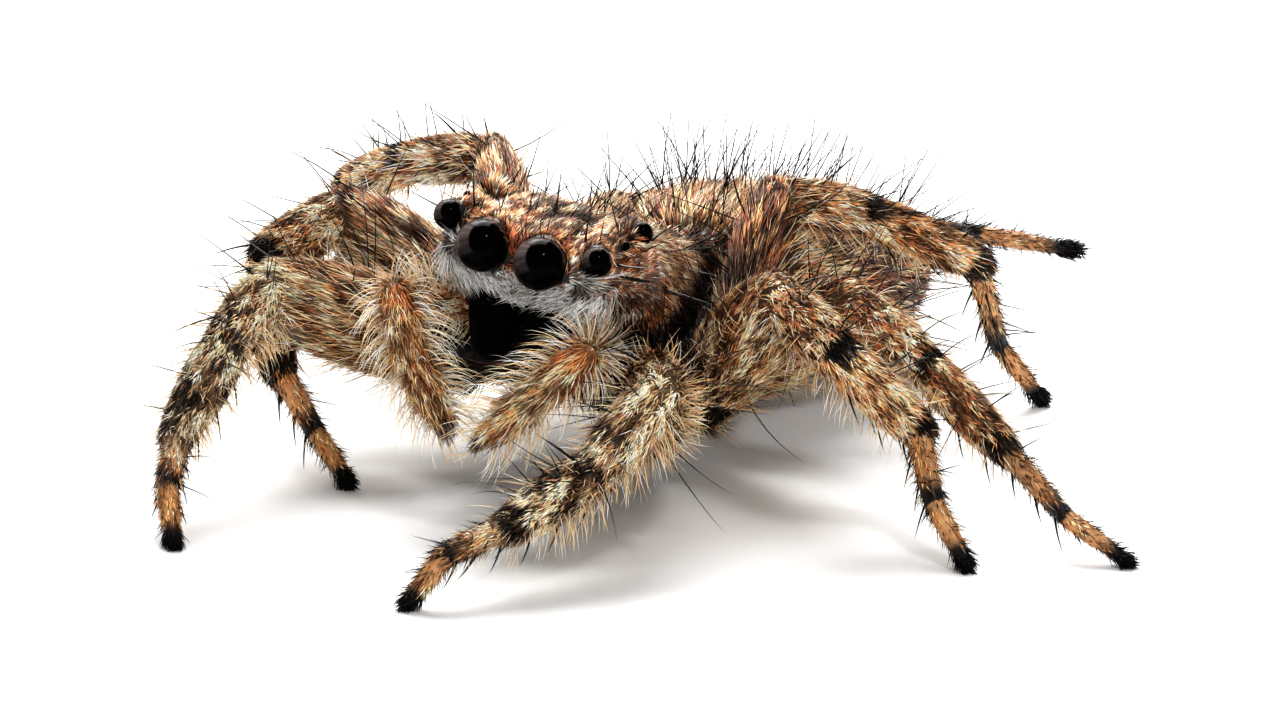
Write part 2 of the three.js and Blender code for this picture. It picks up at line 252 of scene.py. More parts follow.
class Loft:
    """Sections along Y, each an oval squared off by an exponent, in a frame of its own."""

    def __init__(self, name, origin, axes, sections, squareness):
        self.name, self.leg, self.part = name, None, None
        self.a, self.axes, self.squareness = np.array(origin), axes, squareness
        fine = np.linspace(sections[0, 0], sections[-1, 0], 90)
        rows = np.stack([np.interp(fine, sections[:, 0], sections[:, k]) for k in (1, 2, 3)], 1)
        kernel = np.hanning(13) / np.hanning(13).sum()
        padded = np.pad(rows, ((6, 6), (0, 0)), mode="edge")
        smooth = np.stack([np.convolve(padded[:, k], kernel, "valid") for k in range(3)], 1)
        self.y, self.rows = fine, smooth
        self.length = fine[-1] - fine[0]

    def grid(self, around=64):
        """Each section is (cos, sin) raised to the squareness, times its half sizes."""
        angle = np.linspace(0, 2 * np.pi, around, endpoint=False)
        across = np.sign(np.sin(angle)) * np.abs(np.sin(angle)) ** self.squareness
        height = np.sign(np.cos(angle)) * np.abs(np.cos(angle)) ** self.squareness
        wide, top, bottom = self.rows[:, :1], self.rows[:, 1:2], self.rows[:, 2:3]
        z = (top + bottom) / 2 + height * (top - bottom) / 2
        y = np.repeat(self.y[:, None], around, 1)
        local = np.stack((wide * across, y, z), -1)
        ends = [local[:1] * (0, 1, 0) + (0, 0, z[0].mean()), local]
        ends.append(local[-1:] * (0, 1, 0) + (0, 0, z[-1].mean()))
        return self.a + np.concatenate(ends) @ self.axes

    def measure(self, points):
        """The same three values as a limb's, with the distance taken across the section."""
        local = (points - self.a) @ self.axes.T
        x, y, z = local.T
        wide, top, bottom = (np.interp(y, self.y, self.rows[:, k]) for k in range(3))
        tall, z = (top - bottom) / 2, z - (top + bottom) / 2
        power = 2 / self.squareness
        ratio = (np.abs(x / wide) ** power + np.abs(z / tall) ** power) ** (1 / power)
        beyond = np.maximum(0, np.maximum(self.y[0] - y, y - self.y[-1]))
        t = np.clip((y - self.y[0]) / self.length, 0, 1)
        return np.hypot(np.maximum(ratio - 1, -1) * np.minimum(wide, tall), beyond), t, np.arctan2(x, z)


# %% The forms of this body


def abdomen_sections():
    """A half circle drawn out: blunt in front, where its forward swell is added, and slim behind."""
    angle = np.linspace(0.06, np.pi - 0.06, 60)
    swell = np.sin(angle) ** ABDOMEN_BLUNTNESS * (1 + ABDOMEN_FORWARD_SWELL * np.cos(angle))
    along = ABDOMEN_COAT + (ABDOMEN_LENGTH - 2 * ABDOMEN_COAT) * (1 - np.cos(angle)) / 2
    sizes = (ABDOMEN_WIDE, ABDOMEN_HIGH, ABDOMEN_DEEP)
    wide, high, deep = (np.maximum(size * swell - ABDOMEN_COAT, 0.05) for size in sizes)
    return np.stack((along, wide, high, -deep), 1)


def trunk_sections():
    """The solid's sections, less the coat all round."""
    rows = TRUNK.copy()
    rows[:, 0] = TRUNK_COAT + rows[:, 0] * (1 - 2 * TRUNK_COAT / rows[-1, 0])
    rows[:, 1:3] -= TRUNK_COAT
    rows[:, 3] += TRUNK_COAT
    return rows


tailward = turn("z", ABDOMEN_SWING) @ turn("x", -ABDOMEN_DROOP) @ np.array((0.0, 1.0, 0.0))
ABDOMEN_AXES = turn("y", -ABDOMEN_ROLL) @ frame_along(tailward)

forms = [
    Loft("trunk", in_head((0, 0, 0)), HEAD_TURN.T, trunk_sections(), TRUNK_SQUARENESS),
    Loft("abdomen", WAIST, ABDOMEN_AXES, abdomen_sections(), ABDOMEN_SQUARENESS),
    Limb("pedicel", in_head((0, 2.9, -1.1)), WAIST + tailward * 0.8, (0.3, 0.24, 0.3)),
]
for side in (1, -1):
    for pair, (x, y, z) in HIPS.items():
        root = in_head((COXA_INNER, y, COXA_LEVEL), side)
        forms.append(Limb("coxa", root, hip(pair, side), (COXA_RADIUS, COXA_RADIUS, 0.2)))
    palp = [in_head((x + side * sway, y, z), side) for (x, y, z), sway in zip(PALP, PALP_SWAY)]
    for k, radii in enumerate(PALP_SKIN):
        forms.append(Limb("palp", palp[k], palp[k + 1], radii, leg=FEELER + (side < 0), part=k))
    for place, radius, look in EYES.values():
        set_back, hood = (0.3, 1.12) if place[1] > 0.5 else (0.5, 0.98)  # the rear eyes sit in hoods
        bump = in_head(np.array(place) - set_back * radius * unit(look), side)
        inner = in_head(np.array(place) - (1.5 * radius + 0.12) * unit(look), side)
        forms.append(Limb("trunk", inner, bump, (radius * hood,) * 3))
for number, (side, pair, reach, headings, rises) in enumerate(LEGS):
    joints = leg_joints(side, pair, reach, headings, rises)
    last = joints[-1] - joints[-2]
    joints[-1] = joints[-1] - last * FOOT_LIFT / max(-last[2], 0.5 * np.linalg.norm(last))
    for k, (start, middle, end, depth) in enumerate(LEG_SKIN):
        radii = tuple(STOUT[pair] * r for r in (start, middle, end))
        forms.append(Limb(SEGMENTS[k], joints[k], joints[k + 1], radii, depth, number, k))
tail_root = WAIST + tailward * (ABDOMEN_LENGTH - 0.25)
for x, z in ((0.1, 0.06), (-0.1, 0.06), (0.0, -0.1)):
    root = tail_root + np.array((x, 0, z))
    forms.append(Limb("spinneret", root, root + tailward * 0.42, (0.1, 0.09, 0.06)))
for form in forms:
    form.a = form.a + SHIFT
print(len(forms), "forms")

# %% [markdown]
# ## One skin
#
# The grids overlap at every joint. Blender's voxel remesh turns the heap of closed shells into
# one watertight surface, as one skin with no seams. It works in millimetres here, because its
# smallest voxel is too coarse for a body this small in metres.

# %% Meshes from arrays


def closed_grid(points):
    """Quads over a grid that is closed round its second direction, with its two ends capped."""
    rows, around = points.shape[:2]
    index = np.arange(rows * around).reshape(rows, around)
    after = np.roll(index, -1, axis=1)
    quads = np.stack((index[:-1], index[1:], after[1:], after[:-1]), -1).reshape(-1, 4)
    return points.reshape(-1, 3), quads


def make_mesh(name, points, faces, smooth=True):
    """A mesh from an array of points and an array of faces that all have the same corner count."""
    mesh = bpy.data.meshes.new(name)
    faces = np.ascontiguousarray(faces, dtype=np.int32)
    count, corners = faces.shape
    mesh.vertices.add(len(points))
    mesh.vertices.foreach_set("co", np.ascontiguousarray(points, dtype=np.float32).ravel())
    mesh.loops.add(count * corners)
    mesh.loops.foreach_set("vertex_index", faces.ravel())
    mesh.polygons.add(count)
    mesh.polygons.foreach_set("loop_start", np.arange(0, count * corners, corners, dtype=np.int32))
    mesh.polygons.foreach_set("use_smooth", np.full(count, smooth))
    mesh.update(calc_edges=True)
    mesh.validate()
    return mesh


def add_object(name, mesh):
    thing = bpy.data.objects.new(name, mesh)
    bpy.context.scene.collection.objects.link(thing)
    return thing


def read_points(mesh):
    points = np.empty(len(mesh.vertices) * 3, np.float32)
    mesh.vertices.foreach_get("co", points)
    return points.reshape(-1, 3).astype(float)


# %% The skin
VOXEL = 0.043


def merge_forms():
    """All the forms' grids in one mesh, in millimetres, ends closed by their poles."""
    points, quads, count = [], [], 0
    for form in forms:
        form_points, form_quads = closed_grid(form.grid())
        points.append(form_points)
        quads.append(form_quads + count)
        count += len(form_points)
    return make_mesh("forms", np.concatenate(points), np.concatenate(quads))


heap = add_object("heap", merge_forms())
weld = heap.modifiers.new("weld poles", "WELD")
weld.merge_threshold = 0.0005
remesh = heap.modifiers.new("one surface", "REMESH")
remesh.mode = "VOXEL"
remesh.voxel_size = VOXEL
relax = heap.modifiers.new("relax", "SMOOTH")
relax.factor, relax.iterations = 0.5, 3
depsgraph = bpy.context.evaluated_depsgraph_get()
merged = bpy.data.meshes.new_from_object(heap.evaluated_get(depsgraph))
skin_points = read_points(merged)
merged.calc_loop_triangles()
skin_triangles = np.empty(len(merged.loop_triangles) * 3, np.int32)
merged.loop_triangles.foreach_get("vertices", skin_triangles)
skin_triangles = skin_triangles.reshape(-1, 3)
bpy.data.objects.remove(heap)
print("skin", len(skin_points), "points", len(skin_triangles), "triangles")


def triangle_sides(points, triangles):
    a, b, c = (points[triangles[:, k]] for k in range(3))
    return np.cross(b - a, c - a)


def point_normals(points, triangles):
    """Each triangle's area-weighted normal, summed at its corners."""
    sides = triangle_sides(points, triangles)
    total = np.zeros_like(points)
    for k in range(3):
        for axis in range(3):
            total[:, axis] += np.bincount(triangles[:, k], sides[:, axis], len(points))
    return unit(total)


skin_normals = point_normals(skin_points, skin_triangles)

# %% [markdown]
# ## Where on the body a spot is
#
# Each spot of skin belongs to the form whose surface is nearest. That gives its part of the
# body, its share of the way along the part, and its angle round it: all that the markings and
# the lie of the hairs need.

# %% Locating spots


class Spots:
    """Places on the skin with what is known about them, as whole arrays."""

    def __init__(self, points, normals):
        self.points, self.normals = points, normals
        best = np.full(len(points), np.inf)
        self.form = np.zeros(len(points), int)
        self.t, self.angle = np.zeros(len(points)), np.zeros(len(points))
        for number, form in enumerate(forms):
            gap, t, angle = form.measure(points)
            nearer = gap < best
            best = np.where(nearer, gap, best)
            self.form[nearer], self.t[nearer], self.angle[nearer] = number, t[nearer], angle[nearer]
        self.name, self.leg, self.part = FORM_NAMES[self.form], FORM_LEG[self.form], FORM_PART[self.form]
        self.head = (points - SHIFT - (0, 0, HEAD_HEIGHT)) @ HEAD_TURN
        self.rear = (points - SHIFT - WAIST) @ ABDOMEN_AXES.T

    def pick(self, chosen):
        """The same record for some of the spots."""
        part = object.__new__(Spots)
        for key, value in self.__dict__.items():
            setattr(part, key, value[chosen])
        return part


FORM_NAMES = np.array([form.name for form in forms])
FORM_LEG = np.array([-1 if form.leg is None else form.leg for form in forms])
FORM_PART = np.array([-1 if form.part is None else form.part for form in forms])
FORM_ALONG = np.array([form.axes[1] for form in forms])
FORM_START = np.array([form.a for form in forms])

skin_spots = Spots(skin_points, skin_normals)

# %% [markdown]
# ## Markings
#
# The coat is a mixture of flat hairs of a few colours. A marking is not a painted line: it is a
# place where one colour of hair is commoner. So the markings are given as weights of the colours
# at a spot. Each hair draws its colour by those weights, and the skin takes their darkened mean,
# which keeps skin and coat alike; the darkening is partly the shell's own and partly painted shade
# between the hairs. A few marks are painted shade: under the rim of the trunk, on the coxae, at the
# base of each femur, on the left hind femur and low on the abdomen's flanks.

# %% Colours and noise
PALETTE = {
    # colours as seen, 0 to 255
    "white": (252, 248, 244),
    "cream": (255, 230, 194),
    "straw": (236, 192, 140),
    "orange": (230, 146, 80),
    "rust": (168, 94, 66),
    "brown": (98, 64, 48),
    "grey": (140, 126, 120),
    "dark": (16, 13, 13),
}
NAMES = list(PALETTE)


def linear(colour):
    """The usual display curve undone, for a colour of 0 to 255."""
    c = np.asarray(colour, float) / 255
    return np.where(c <= 0.04045, c / 12.92, ((c + 0.055) / 1.055) ** 2.4)


COLOURS = linear(list(PALETTE.values()))


def noise(points, size, seed=0):
    """Smooth random values from 0 to 1: random corners of a grid of cells, blended between."""
    cell = points / size + 100.0
    base = np.floor(cell).astype(np.int64)
    blend = cell - base
    blend = blend * blend * (3 - 2 * blend)
    total = np.zeros(len(points))
    for corner in range(8):
        offset = np.array((corner & 1, corner >> 1 & 1, corner >> 2 & 1))
        key = (base + offset) @ np.array((73856093, 19349663, 83492791)) + seed * 7919
        key = (key ^ (key >> 13)) * 1274126177 & 0x7FFFFFFF
        value = (key ^ (key >> 16)) % 10007 / 10007
        total += value * np.prod(np.where(offset, blend, 1 - blend), axis=1)
    return total


def step(low, high, values):
    """0 below low, 1 above high, and a smooth rise between."""
    x = np.clip((values - low) / (high - low), 0, 1)
    return x * x * (3 - 2 * x)


def mix(count, **weights):
    """A row of palette weights for each spot."""
    rows = np.zeros((count, len(NAMES)))
    for name, weight in weights.items():
        rows[:, NAMES.index(name)] = weight
    return rows


def blend_rows(first, second, mask):
    return first * (1 - mask[:, None]) + second * mask[:, None]


def over(rows, mask, **weights):
    """Rows of weights with a mixture laid over them by a mask."""
    return blend_rows(rows, mix(len(rows), **weights), mask)


def folded(spots):
    """Places in the head's frame, with the right half folded onto the left."""
    x, y, z = spots.head.T
    return np.stack((np.abs(x), y, z), 1)


def patches_of(spots, coarse, fine, seed):
    """Random patches from 0 to 1: three fifths of a coarse noise and two of a fine one."""
    return noise(spots.points, coarse, seed) * 0.6 + noise(spots.points, fine, seed + 1) * 0.4


# %% Markings of the trunk, the abdomen and the legs


def near(places, centre, reach):
    """1 at a centre and 0 past its reach."""
    return 1 - step(0.4 * reach, reach, np.linalg.norm(places - np.array(centre), axis=1))


def trunk_marks(spots):
    """Mottled, with a dark crown, rusty rings at the main eyes, a pale muzzle and a rusty hem; shade is
    painted under the rim.
    """
    fold = folded(spots)
    x, y, z = fold.T
    patches = patches_of(spots, 0.3, 0.13, 1)
    rows = mix(len(x), cream=0.26, straw=0.08, orange=0.24, rust=0.2, brown=0.08, dark=0.14)
    rows = over(rows, step(0.54, 0.66, patches), dark=0.36, brown=0.2, rust=0.2, cream=0.24)
    rows = over(rows, 1 - step(0.38, 0.5, patches), cream=0.36, white=0.04, orange=0.3, rust=0.2, dark=0.1)
    crown = near(fold, (0.25, 0.85, 0.2), 0.35)
    rows = over(rows, crown * 0.7, dark=0.5, brown=0.2, grey=0.1, cream=0.2)
    side = step(0.15, -0.05, z) * step(0.2, 0.5, y)
    rows = over(rows, side, rust=0.28, orange=0.3, white=0.18, cream=0.2, dark=0.04)
    ring = near(fold, (0.35, 0.1, 0.03), 0.38) * step(-0.1, 0.02, z)
    rows = over(rows, ring, rust=0.26, orange=0.38, straw=0.22, brown=0.14)
    cheek = step(-0.15, -0.4, z) * step(0.3, 0.7, x)
    rows = over(rows, cheek * 0.9, grey=0.22, cream=0.16, white=0.18, brown=0.2, rust=0.16, dark=0.08)
    hem = step(-0.45, -0.7, z) * step(0.7, 1.1, y)
    rows = over(rows, hem, rust=0.34, orange=0.42, cream=0.14, brown=0.1)
    back = step(1.3, 1.7, y)
    rows = over(rows, back * 0.8, cream=0.36, straw=0.24, rust=0.2, brown=0.08, white=0.04, dark=0.08)
    bridge = step(0.14, 0.06, x) * step(0.25, 0.1, y) * step(-0.42, -0.3, z)
    rows = over(rows, bridge, rust=0.5, orange=0.2, dark=0.3)
    rows = over(rows, muzzle(fold), white=0.5, grey=0.26, dark=0.24)
    # painted shade under the rim of the trunk
    return over(rows, painted_rim_shade(spots), dark=0.7, brown=0.3)


def muzzle(fold):
    """1 on the pale muzzle: under the main eyes, and up beside them as far as the side eyes."""
    x, y, z = fold.T
    beside = step(0.55, 0.7, x) * step(1.0, 0.85, x) * step(0.34, 0.2, y) * step(0.04, -0.06, z)
    return np.maximum(step(-0.1, -0.24, z) * step(0.62, 0.3, y), beside)


def painted_rim_shade(spots):
    """1 under the rim of the trunk, where shade is painted: dark hairs over a thinned coat."""
    _, y, z = spots.head.T
    line = -0.68 - 0.18 * step(1.0, 1.4, y)
    return step(line, line - 0.16, z) * step(0.4, 0.8, y)


def abdomen_marks(spots):
    """A pale band down the middle with scalloped, dark-edged sides, on mottled flanks with painted shade low
    down.
    """
    x, y, z = spots.rear.T
    patches = patches_of(spots, 0.4, 0.16, 3)
    rows = mix(len(x), cream=0.26, straw=0.14, orange=0.06, rust=0.24, brown=0.18, dark=0.12)
    rows = over(rows, step(0.54, 0.66, patches), dark=0.44, brown=0.26, rust=0.3)
    half = 0.34 + 0.2 * np.abs(np.sin(np.pi * y / 1.05)) + 0.1 * (patches - 0.5)
    on_top = step(0.1, 0.4, z)
    edge = np.exp(-(((np.abs(x) - half - 0.1) / 0.12) ** 2)) * on_top * step(0.9, 1.6, y)
    rows = over(rows, edge * 0.85, dark=0.75, brown=0.25)
    band = (1 - step(-0.05, 0.05, np.abs(x) - half)) * on_top
    rows = over(rows, band * 0.85, cream=0.42, straw=0.22, white=0.1, rust=0.16, grey=0.1)
    front = step(1.5, 0.6, y)
    rows = over(rows, front * 0.8, straw=0.3, cream=0.34, orange=0.08, rust=0.2, dark=0.08)
    # painted shade low on the flanks
    flank_shade = step(0.3, 0.0, z) * step(1.2, 2.0, y)
    rows = over(rows, flank_shade * 0.85, brown=0.38, rust=0.14, dark=0.34, cream=0.08, straw=0.06)
    under = step(-0.4, -0.7, z)
    return over(rows, under, cream=0.4, grey=0.3, straw=0.2, brown=0.1)


def leg_marks(spots, part):
    """Cream and dark scales in patches, black at the knee, amber towards the foot; shade is painted at the
    base of each femur and over the left hind femur.
    """
    n, t, up = len(spots.t), spots.t, np.cos(spots.angle)
    fore = (spots.leg < 2).astype(float)
    patches = patches_of(spots, 0.22, 0.1, 5)
    ragged = t + 0.22 * (patches - 0.5)
    dark = mix(n, dark=0.92, grey=0.08)
    scaled = mix(n, cream=0.6, straw=0.16, rust=0.08, brown=0.06, dark=0.1)
    golden = mix(n, orange=0.28, straw=0.26, cream=0.24, rust=0.16, dark=0.06)
    amber = mix(n, orange=0.4, straw=0.46, cream=0.08, dark=0.06)
    if part == "femur":
        hind_in_shade = spots.leg == LEFT_HIND
        rows = mix(n, cream=0.4, straw=0.18, orange=0.1, rust=0.16, brown=0.08, dark=0.08)
        rows = over(rows, step(0.5, 0.62, patches) * 0.8, brown=0.36, rust=0.28, dark=0.2, straw=0.16)
        below = step(0.1, -0.5, up) * 0.8
        rows = over(rows, below, straw=0.3, cream=0.42, orange=0.08, rust=0.06, brown=0.14)
        # painted shade: the left hind femur alone is darkened
        rows = over(rows, hind_in_shade * 0.9, straw=0.12, orange=0.08, rust=0.14, brown=0.38, dark=0.28)
        rows = over(rows, step(0.84, 0.95, t) * fore * 0.85, cream=0.66, straw=0.24, rust=0.1)
        # painted shade at the base of each femur, deepest on the first pair
        return over(rows, step(0.32, 0.14, t) * (0.6 + 0.4 * fore), dark=0.8, brown=0.2)
    if part == "patella":
        rows = over(scaled, 0.8 - 0.6 * fore, rust=0.2, orange=0.22, cream=0.4, straw=0.1, dark=0.08)
        rows = blend_rows(rows, dark, step(0.58, 0.68, patches) * (0.3 + 0.3 * fore))
        rows = over(rows, step(0.45, 0.2, t) * fore * 0.9, cream=0.7, straw=0.3)
        return blend_rows(rows, dark, step(0.9, 0.98, ragged) * step(-0.3, 0.2, up) * (1 - 0.5 * fore))
    if part == "tibia":
        rows = blend_rows(golden, scaled, 0.2 + 0.75 * fore)
        rows = blend_rows(rows, dark, step(0.56, 0.64, patches) * (0.2 + 0.5 * fore))
        rows = blend_rows(rows, dark, step(0.13, 0.03, ragged) * step(-0.5, 0.1, up) * (0.95 - 0.2 * fore))
        return blend_rows(rows, dark, step(0.84, 0.92, ragged) * (0.85 - 0.35 * fore))
    if part == "metatarsus":
        rows = blend_rows(amber, scaled, fore * step(0.8, 0.4, t) * 0.9)
        rows = over(rows, step(0.5, 0.64, patches) * 0.5, cream=0.3, straw=0.2, rust=0.3, dark=0.2)
        return blend_rows(rows, dark, step(0.56, 0.92, ragged))
    return blend_rows(amber, dark, step(0.54, 0.86, ragged))


def palp_marks(spots):
    """Cream and straw, orange past the first joint and grey at the tip."""
    rows = mix(len(spots.t), straw=0.34, cream=0.34, orange=0.18, rust=0.1, brown=0.04)
    knee = (spots.part == 1) * step(0.45, 0.1, spots.t)
    rows = over(rows, knee * 0.8, orange=0.6, rust=0.2, cream=0.2)
    tip = (spots.part == 2) * step(0.86, 1.0, spots.t)
    return over(rows, tip, grey=0.6, brown=0.2, dark=0.2)


def markings(spots):
    """The palette weights at each spot, by the part of the body that it is on."""
    rows = mix(len(spots.t), brown=0.45, cream=0.25, rust=0.3)
    marks = {"trunk": trunk_marks, "abdomen": abdomen_marks, "palp": palp_marks}
    for name in np.unique(spots.name):
        here = spots.name == name
        if name in marks:
            rows[here] = marks[name](spots.pick(here))
        elif name in SEGMENTS:
            rows[here] = leg_marks(spots.pick(here), name)
        elif name == "coxa":
            # the coxae are dark: mostly painted shade in the hollow under the trunk
            rows[here] = mix(here.sum(), dark=0.7, brown=0.2, rust=0.1)
    return rows / rows.sum(1, keepdims=True)


skin_marks = markings(skin_spots)

# %% [markdown]
# ## Finishes
#
# The skin is a shell of chitin: dark, a little shiny, finely pitted. The hairs are flat and
# satiny. Both read the colour worked out above from an attribute of the mesh, and break it up
# with a fine grain, which is one node group used in both.

# %% Nodes


def set_inputs(node, **values):
    """Sets a node's inputs; an underscore stands for a space in a name."""
    for name, value in values.items():
        node.inputs[name.replace("_", " ")].default_value = value
    return node


def add_node(tree, kind, **values):
    return set_inputs(tree.nodes.new("ShaderNode" + kind), **values)


def wire(tree, *wires):
    """Links sockets: each wire is a node and its output, then a node and its input."""
    for source, output, target, socket in wires:
        tree.links.new(source.outputs[output], target.inputs[socket])


def new_material(name, **values):
    """A material, its tree and its shader, with some of the shader's inputs set."""
    material = bpy.data.materials.new(name)
    material.use_nodes = True
    tree = material.node_tree
    return material, tree, set_inputs(tree.nodes["Principled BSDF"], **values)


# %% The shared grain group


def make_grain_group():
    """Varies a colour's brightness by a fine noise, and gives the noise as a height too."""
    group = bpy.data.node_groups.new("fine grain", "ShaderNodeTree")
    for name, way, kind in (
        ("Colour", "INPUT", "Color"),
        ("Scale", "INPUT", "Float"),
        ("Strength", "INPUT", "Float"),
        ("Colour", "OUTPUT", "Color"),
        ("Height", "OUTPUT", "Float"),
    ):
        group.interface.new_socket(name, in_out=way, socket_type="NodeSocket" + kind)
    source, sink = group.nodes.new("NodeGroupInput"), group.nodes.new("NodeGroupOutput")
    place = add_node(group, "TexCoord")
    grain = add_node(group, "TexNoise", Detail=3)
    swing = add_node(group, "MapRange", From_Min=0.3, From_Max=0.7, To_Min=0.65, To_Max=1.3)
    tint = add_node(group, "Mix")
    tint.data_type, tint.blend_type = "RGBA", "MULTIPLY"
    wire(
        group,
        (place, "Object", grain, "Vector"),
        (source, "Scale", grain, "Scale"),
        (grain, "Fac", swing, "Value"),
        (source, "Strength", tint, "Factor"),
        (source, "Colour", tint, "A"),
        (swing, "Result", tint, "B"),
        (tint, "Result", sink, "Colour"),
        (grain, "Fac", sink, "Height"),
    )
    return group


GRAIN = make_grain_group()
BUMP_DEPTH = 0.00002  # metres


def add_grain(tree, **values):
    node = add_node(tree, "Group")
    node.node_tree = GRAIN
    return set_inputs(node, **values)


def tone_finish(name, scale, strength, roughness, bump=0.0, **sockets):
    """A material whose colour is the mesh's tone, broken up by the grain group."""
    material, tree, shader = new_material(name, Roughness=roughness, **sockets)
    tone = add_node(tree, "Attribute")
    tone.attribute_name = "tone"
    grain = add_grain(tree, Scale=scale, Strength=strength)
    wire(tree, (tone, "Color", grain, "Colour"), (grain, "Colour", shader, "Base Color"))
    if bump:
        height = add_node(tree, "Bump", Strength=bump, Distance=BUMP_DEPTH)
        wire(tree, (grain, "Height", height, "Height"), (height, "Normal", shader, "Normal"))
    return material


skin_finish = tone_finish("chitin", 9000, 0.8, 0.42, bump=0.6)
hair_finish = tone_finish("flat hair", 16000, 0.35, 0.5, Specular_IOR_Level=0.4)
bristle_finish = tone_finish("bristle", 16000, 0.2, 0.3, Specular_IOR_Level=0.5)

# %% The skin's mesh and tone


def set_tone(mesh, colours):
    """Stores a colour for each point of the mesh, under the name that the finishes read."""
    rows = np.ones((len(colours), 4), np.float32)
    rows[:, :3] = colours
    mesh.color_attributes.new("tone", "FLOAT_COLOR", "POINT").data.foreach_set("color", rows.ravel())


SKIN_SHADE, FOOT_SHADE = 0.16, 0.62  # the skin against the mean of the hairs over it: the shell's own dark and painted shade between the hairs, less on the bare feet


def eye_rim(points):
    """1 beside an eye, 0 past half its radius from it: the bare rim of its socket."""
    rim = np.zeros(len(points))
    for _, _, centre, radius, _ in EYE_BALLS:
        gap = np.linalg.norm(points - centre, axis=1) / radius
        rim = np.maximum(rim, step(1.5, 1.2, gap))
    return rim


def skin_colours(spots, marks):
    """The hairs' mean colour, darkened as the shell's own dark and as painted shade between the hairs;
    towards the feet it clears to bare amber shell.
    """
    foot = np.isin(spots.name, ("metatarsus", "tarsus")).astype(float)
    shade = SKIN_SHADE + (FOOT_SHADE - SKIN_SHADE) * foot + 0.2 * (spots.name == "palp")
    return marks @ COLOURS * (shade * (1 - 0.85 * eye_rim(spots.points)))[:, None]


skin_mesh = make_mesh("skin", skin_points * MM, skin_triangles)
skin_tone = skin_colours(skin_spots, skin_marks)
set_tone(skin_mesh, skin_tone)
skin = add_object("skin", skin_mesh)
skin_mesh.materials.append(skin_finish)
flesh = [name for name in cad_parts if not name.startswith(("eye_", "chelicera_"))]
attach(skin, "root")
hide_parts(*flesh)

# %% [markdown]
# ## Hairs
#
# Two kinds of hair are made here, each as a small closed solid with few faces. A *scale* is a
# flat lance-shaped hair of six triangles: root, two edges, a ridge and a tip. A *needle* is a
# three-sided bristle that tapers over a few rings and bends as it goes. All of a kind are
# worked out at once as arrays: roots are scattered over the skin's triangles by area, and the
# lie is a direction field that follows the body.

# %% Scattering roots


def scatter(density):
    """Spots on the skin: triangles drawn by area times density, with a random place in each."""
    area = np.linalg.norm(triangle_sides(skin_points, skin_triangles), axis=1) / 2
    share = area * density[skin_triangles].mean(1)
    count = int(share.sum())
    drawn = np.searchsorted(np.cumsum(share) / share.sum(), chance.random(count))
    drawn = np.minimum(drawn, len(skin_triangles) - 1)
    a, b = chance.random((2, count, 1))
    over = a + b > 1
    a, b = np.where(over, 1 - a, a), np.where(over, 1 - b, b)
    corners = skin_triangles[drawn]

    def at(values):
        return values[corners[:, 0]] * (1 - a - b) + values[corners[:, 1]] * a + values[corners[:, 2]] * b

    return Spots(at(skin_points), unit(at(skin_normals)))


def lie_of(spots):
    """The way the hairs point: outward along limbs, back over the trunk, down on the face."""
    lie = FORM_ALONG[spots.form].copy()
    on_trunk = spots.name == "trunk"
    x, y, z = spots.head[on_trunk].T
    side = np.sign(x)
    back = np.stack((0.12 * side, np.ones_like(x), 0.0 * x), 1)
    down = np.stack((-0.9 * side, -0.3 + 0 * x, -0.5 + 0 * x), 1)
    sweep = np.stack((0.1 * side, 0.4 + 0 * x, -0.8 + 0 * x), 1)
    front = step(0.9, 0.35, y) * step(-0.05, -0.3, z)
    low = step(-0.15, -0.6, z) * (1 - front)
    brow = step(0.3, 0.05, y) * step(-0.1, 0.1, z)
    rise = np.stack((0.5 * side * (np.abs(x) > 0.35), 0.5 + 0 * x, np.ones_like(x)), 1)
    field = back * (1 - front - low)[:, None] + down * front[:, None] + sweep * low[:, None]
    field = field * (1 - brow)[:, None] + rise * brow[:, None]
    lie[on_trunk] = field @ HEAD_TURN.T
    return flatten(lie, spots.normals)


def flatten(lie, normals):
    """A direction laid into the skin's surface."""
    return unit(lie - normals * (lie * normals).sum(1, keepdims=True))


def ruffle(lie, normals, spread):
    """Each direction turned in the surface by a random angle, spread in radians."""
    angle = chance.normal(0, spread, len(lie))[:, None]
    return lie * np.cos(angle) + np.cross(normals, lie) * np.sin(angle)


def combed(spots, spread):
    """The lie at each spot, ruffled."""
    return ruffle(lie_of(spots), spots.normals, spread)


# %% The two kinds of hair
SCALE_FACES = np.array(((0, 2, 3), (0, 3, 1), (2, 4, 3), (3, 4, 1), (0, 1, 2), (1, 4, 2)))
SCALE_ROOT, NEEDLE_ROOT = 0.012, 0.015  # how deep the roots are sunk in the skin
WIDEST, BEYOND = 0.45, 0.55  # the shares of a flat hair before and after its widest place
RIDGE, TIP_LIFT = 0.22, 0.5  # its ridge against its width, and its tip's lift against its middle's
NEEDLE_TAPER = 0.7


def scales(spots, lie, length, width, lift):
    """Root, left edge, right edge, ridge and tip of each flat hair.

    The middle stands off the skin by the sine of the lift, in degrees, and the tip by a lower angle."""
    n, p = spots.normals, spots.points
    across = np.cross(n, lie)
    length, width, lift = length[:, None], width[:, None], np.radians(lift)[:, None]
    middle = p + lie * length * WIDEST * np.cos(lift) + n * length * WIDEST * np.sin(lift)
    lift = lift * TIP_LIFT
    tip = middle + lie * length * BEYOND * np.cos(lift) + n * length * BEYOND * np.sin(lift)
    root = p - n * SCALE_ROOT
    ridge = middle + n * width * RIDGE
    points = np.stack((root, middle + across * width / 2, middle - across * width / 2, ridge, tip), 1)
    # painted shading along each hair: shade at the root, a painted highlight on the ridge, brightest at the
    # tip
    shade = np.array((0.35, 0.92, 0.92, 1.08, 1.35))
    place = np.array(((0, 0), (-0.5, WIDEST), (0.5, WIDEST), (0, WIDEST), (0, 1.0)))
    return points, SCALE_FACES, shade, place


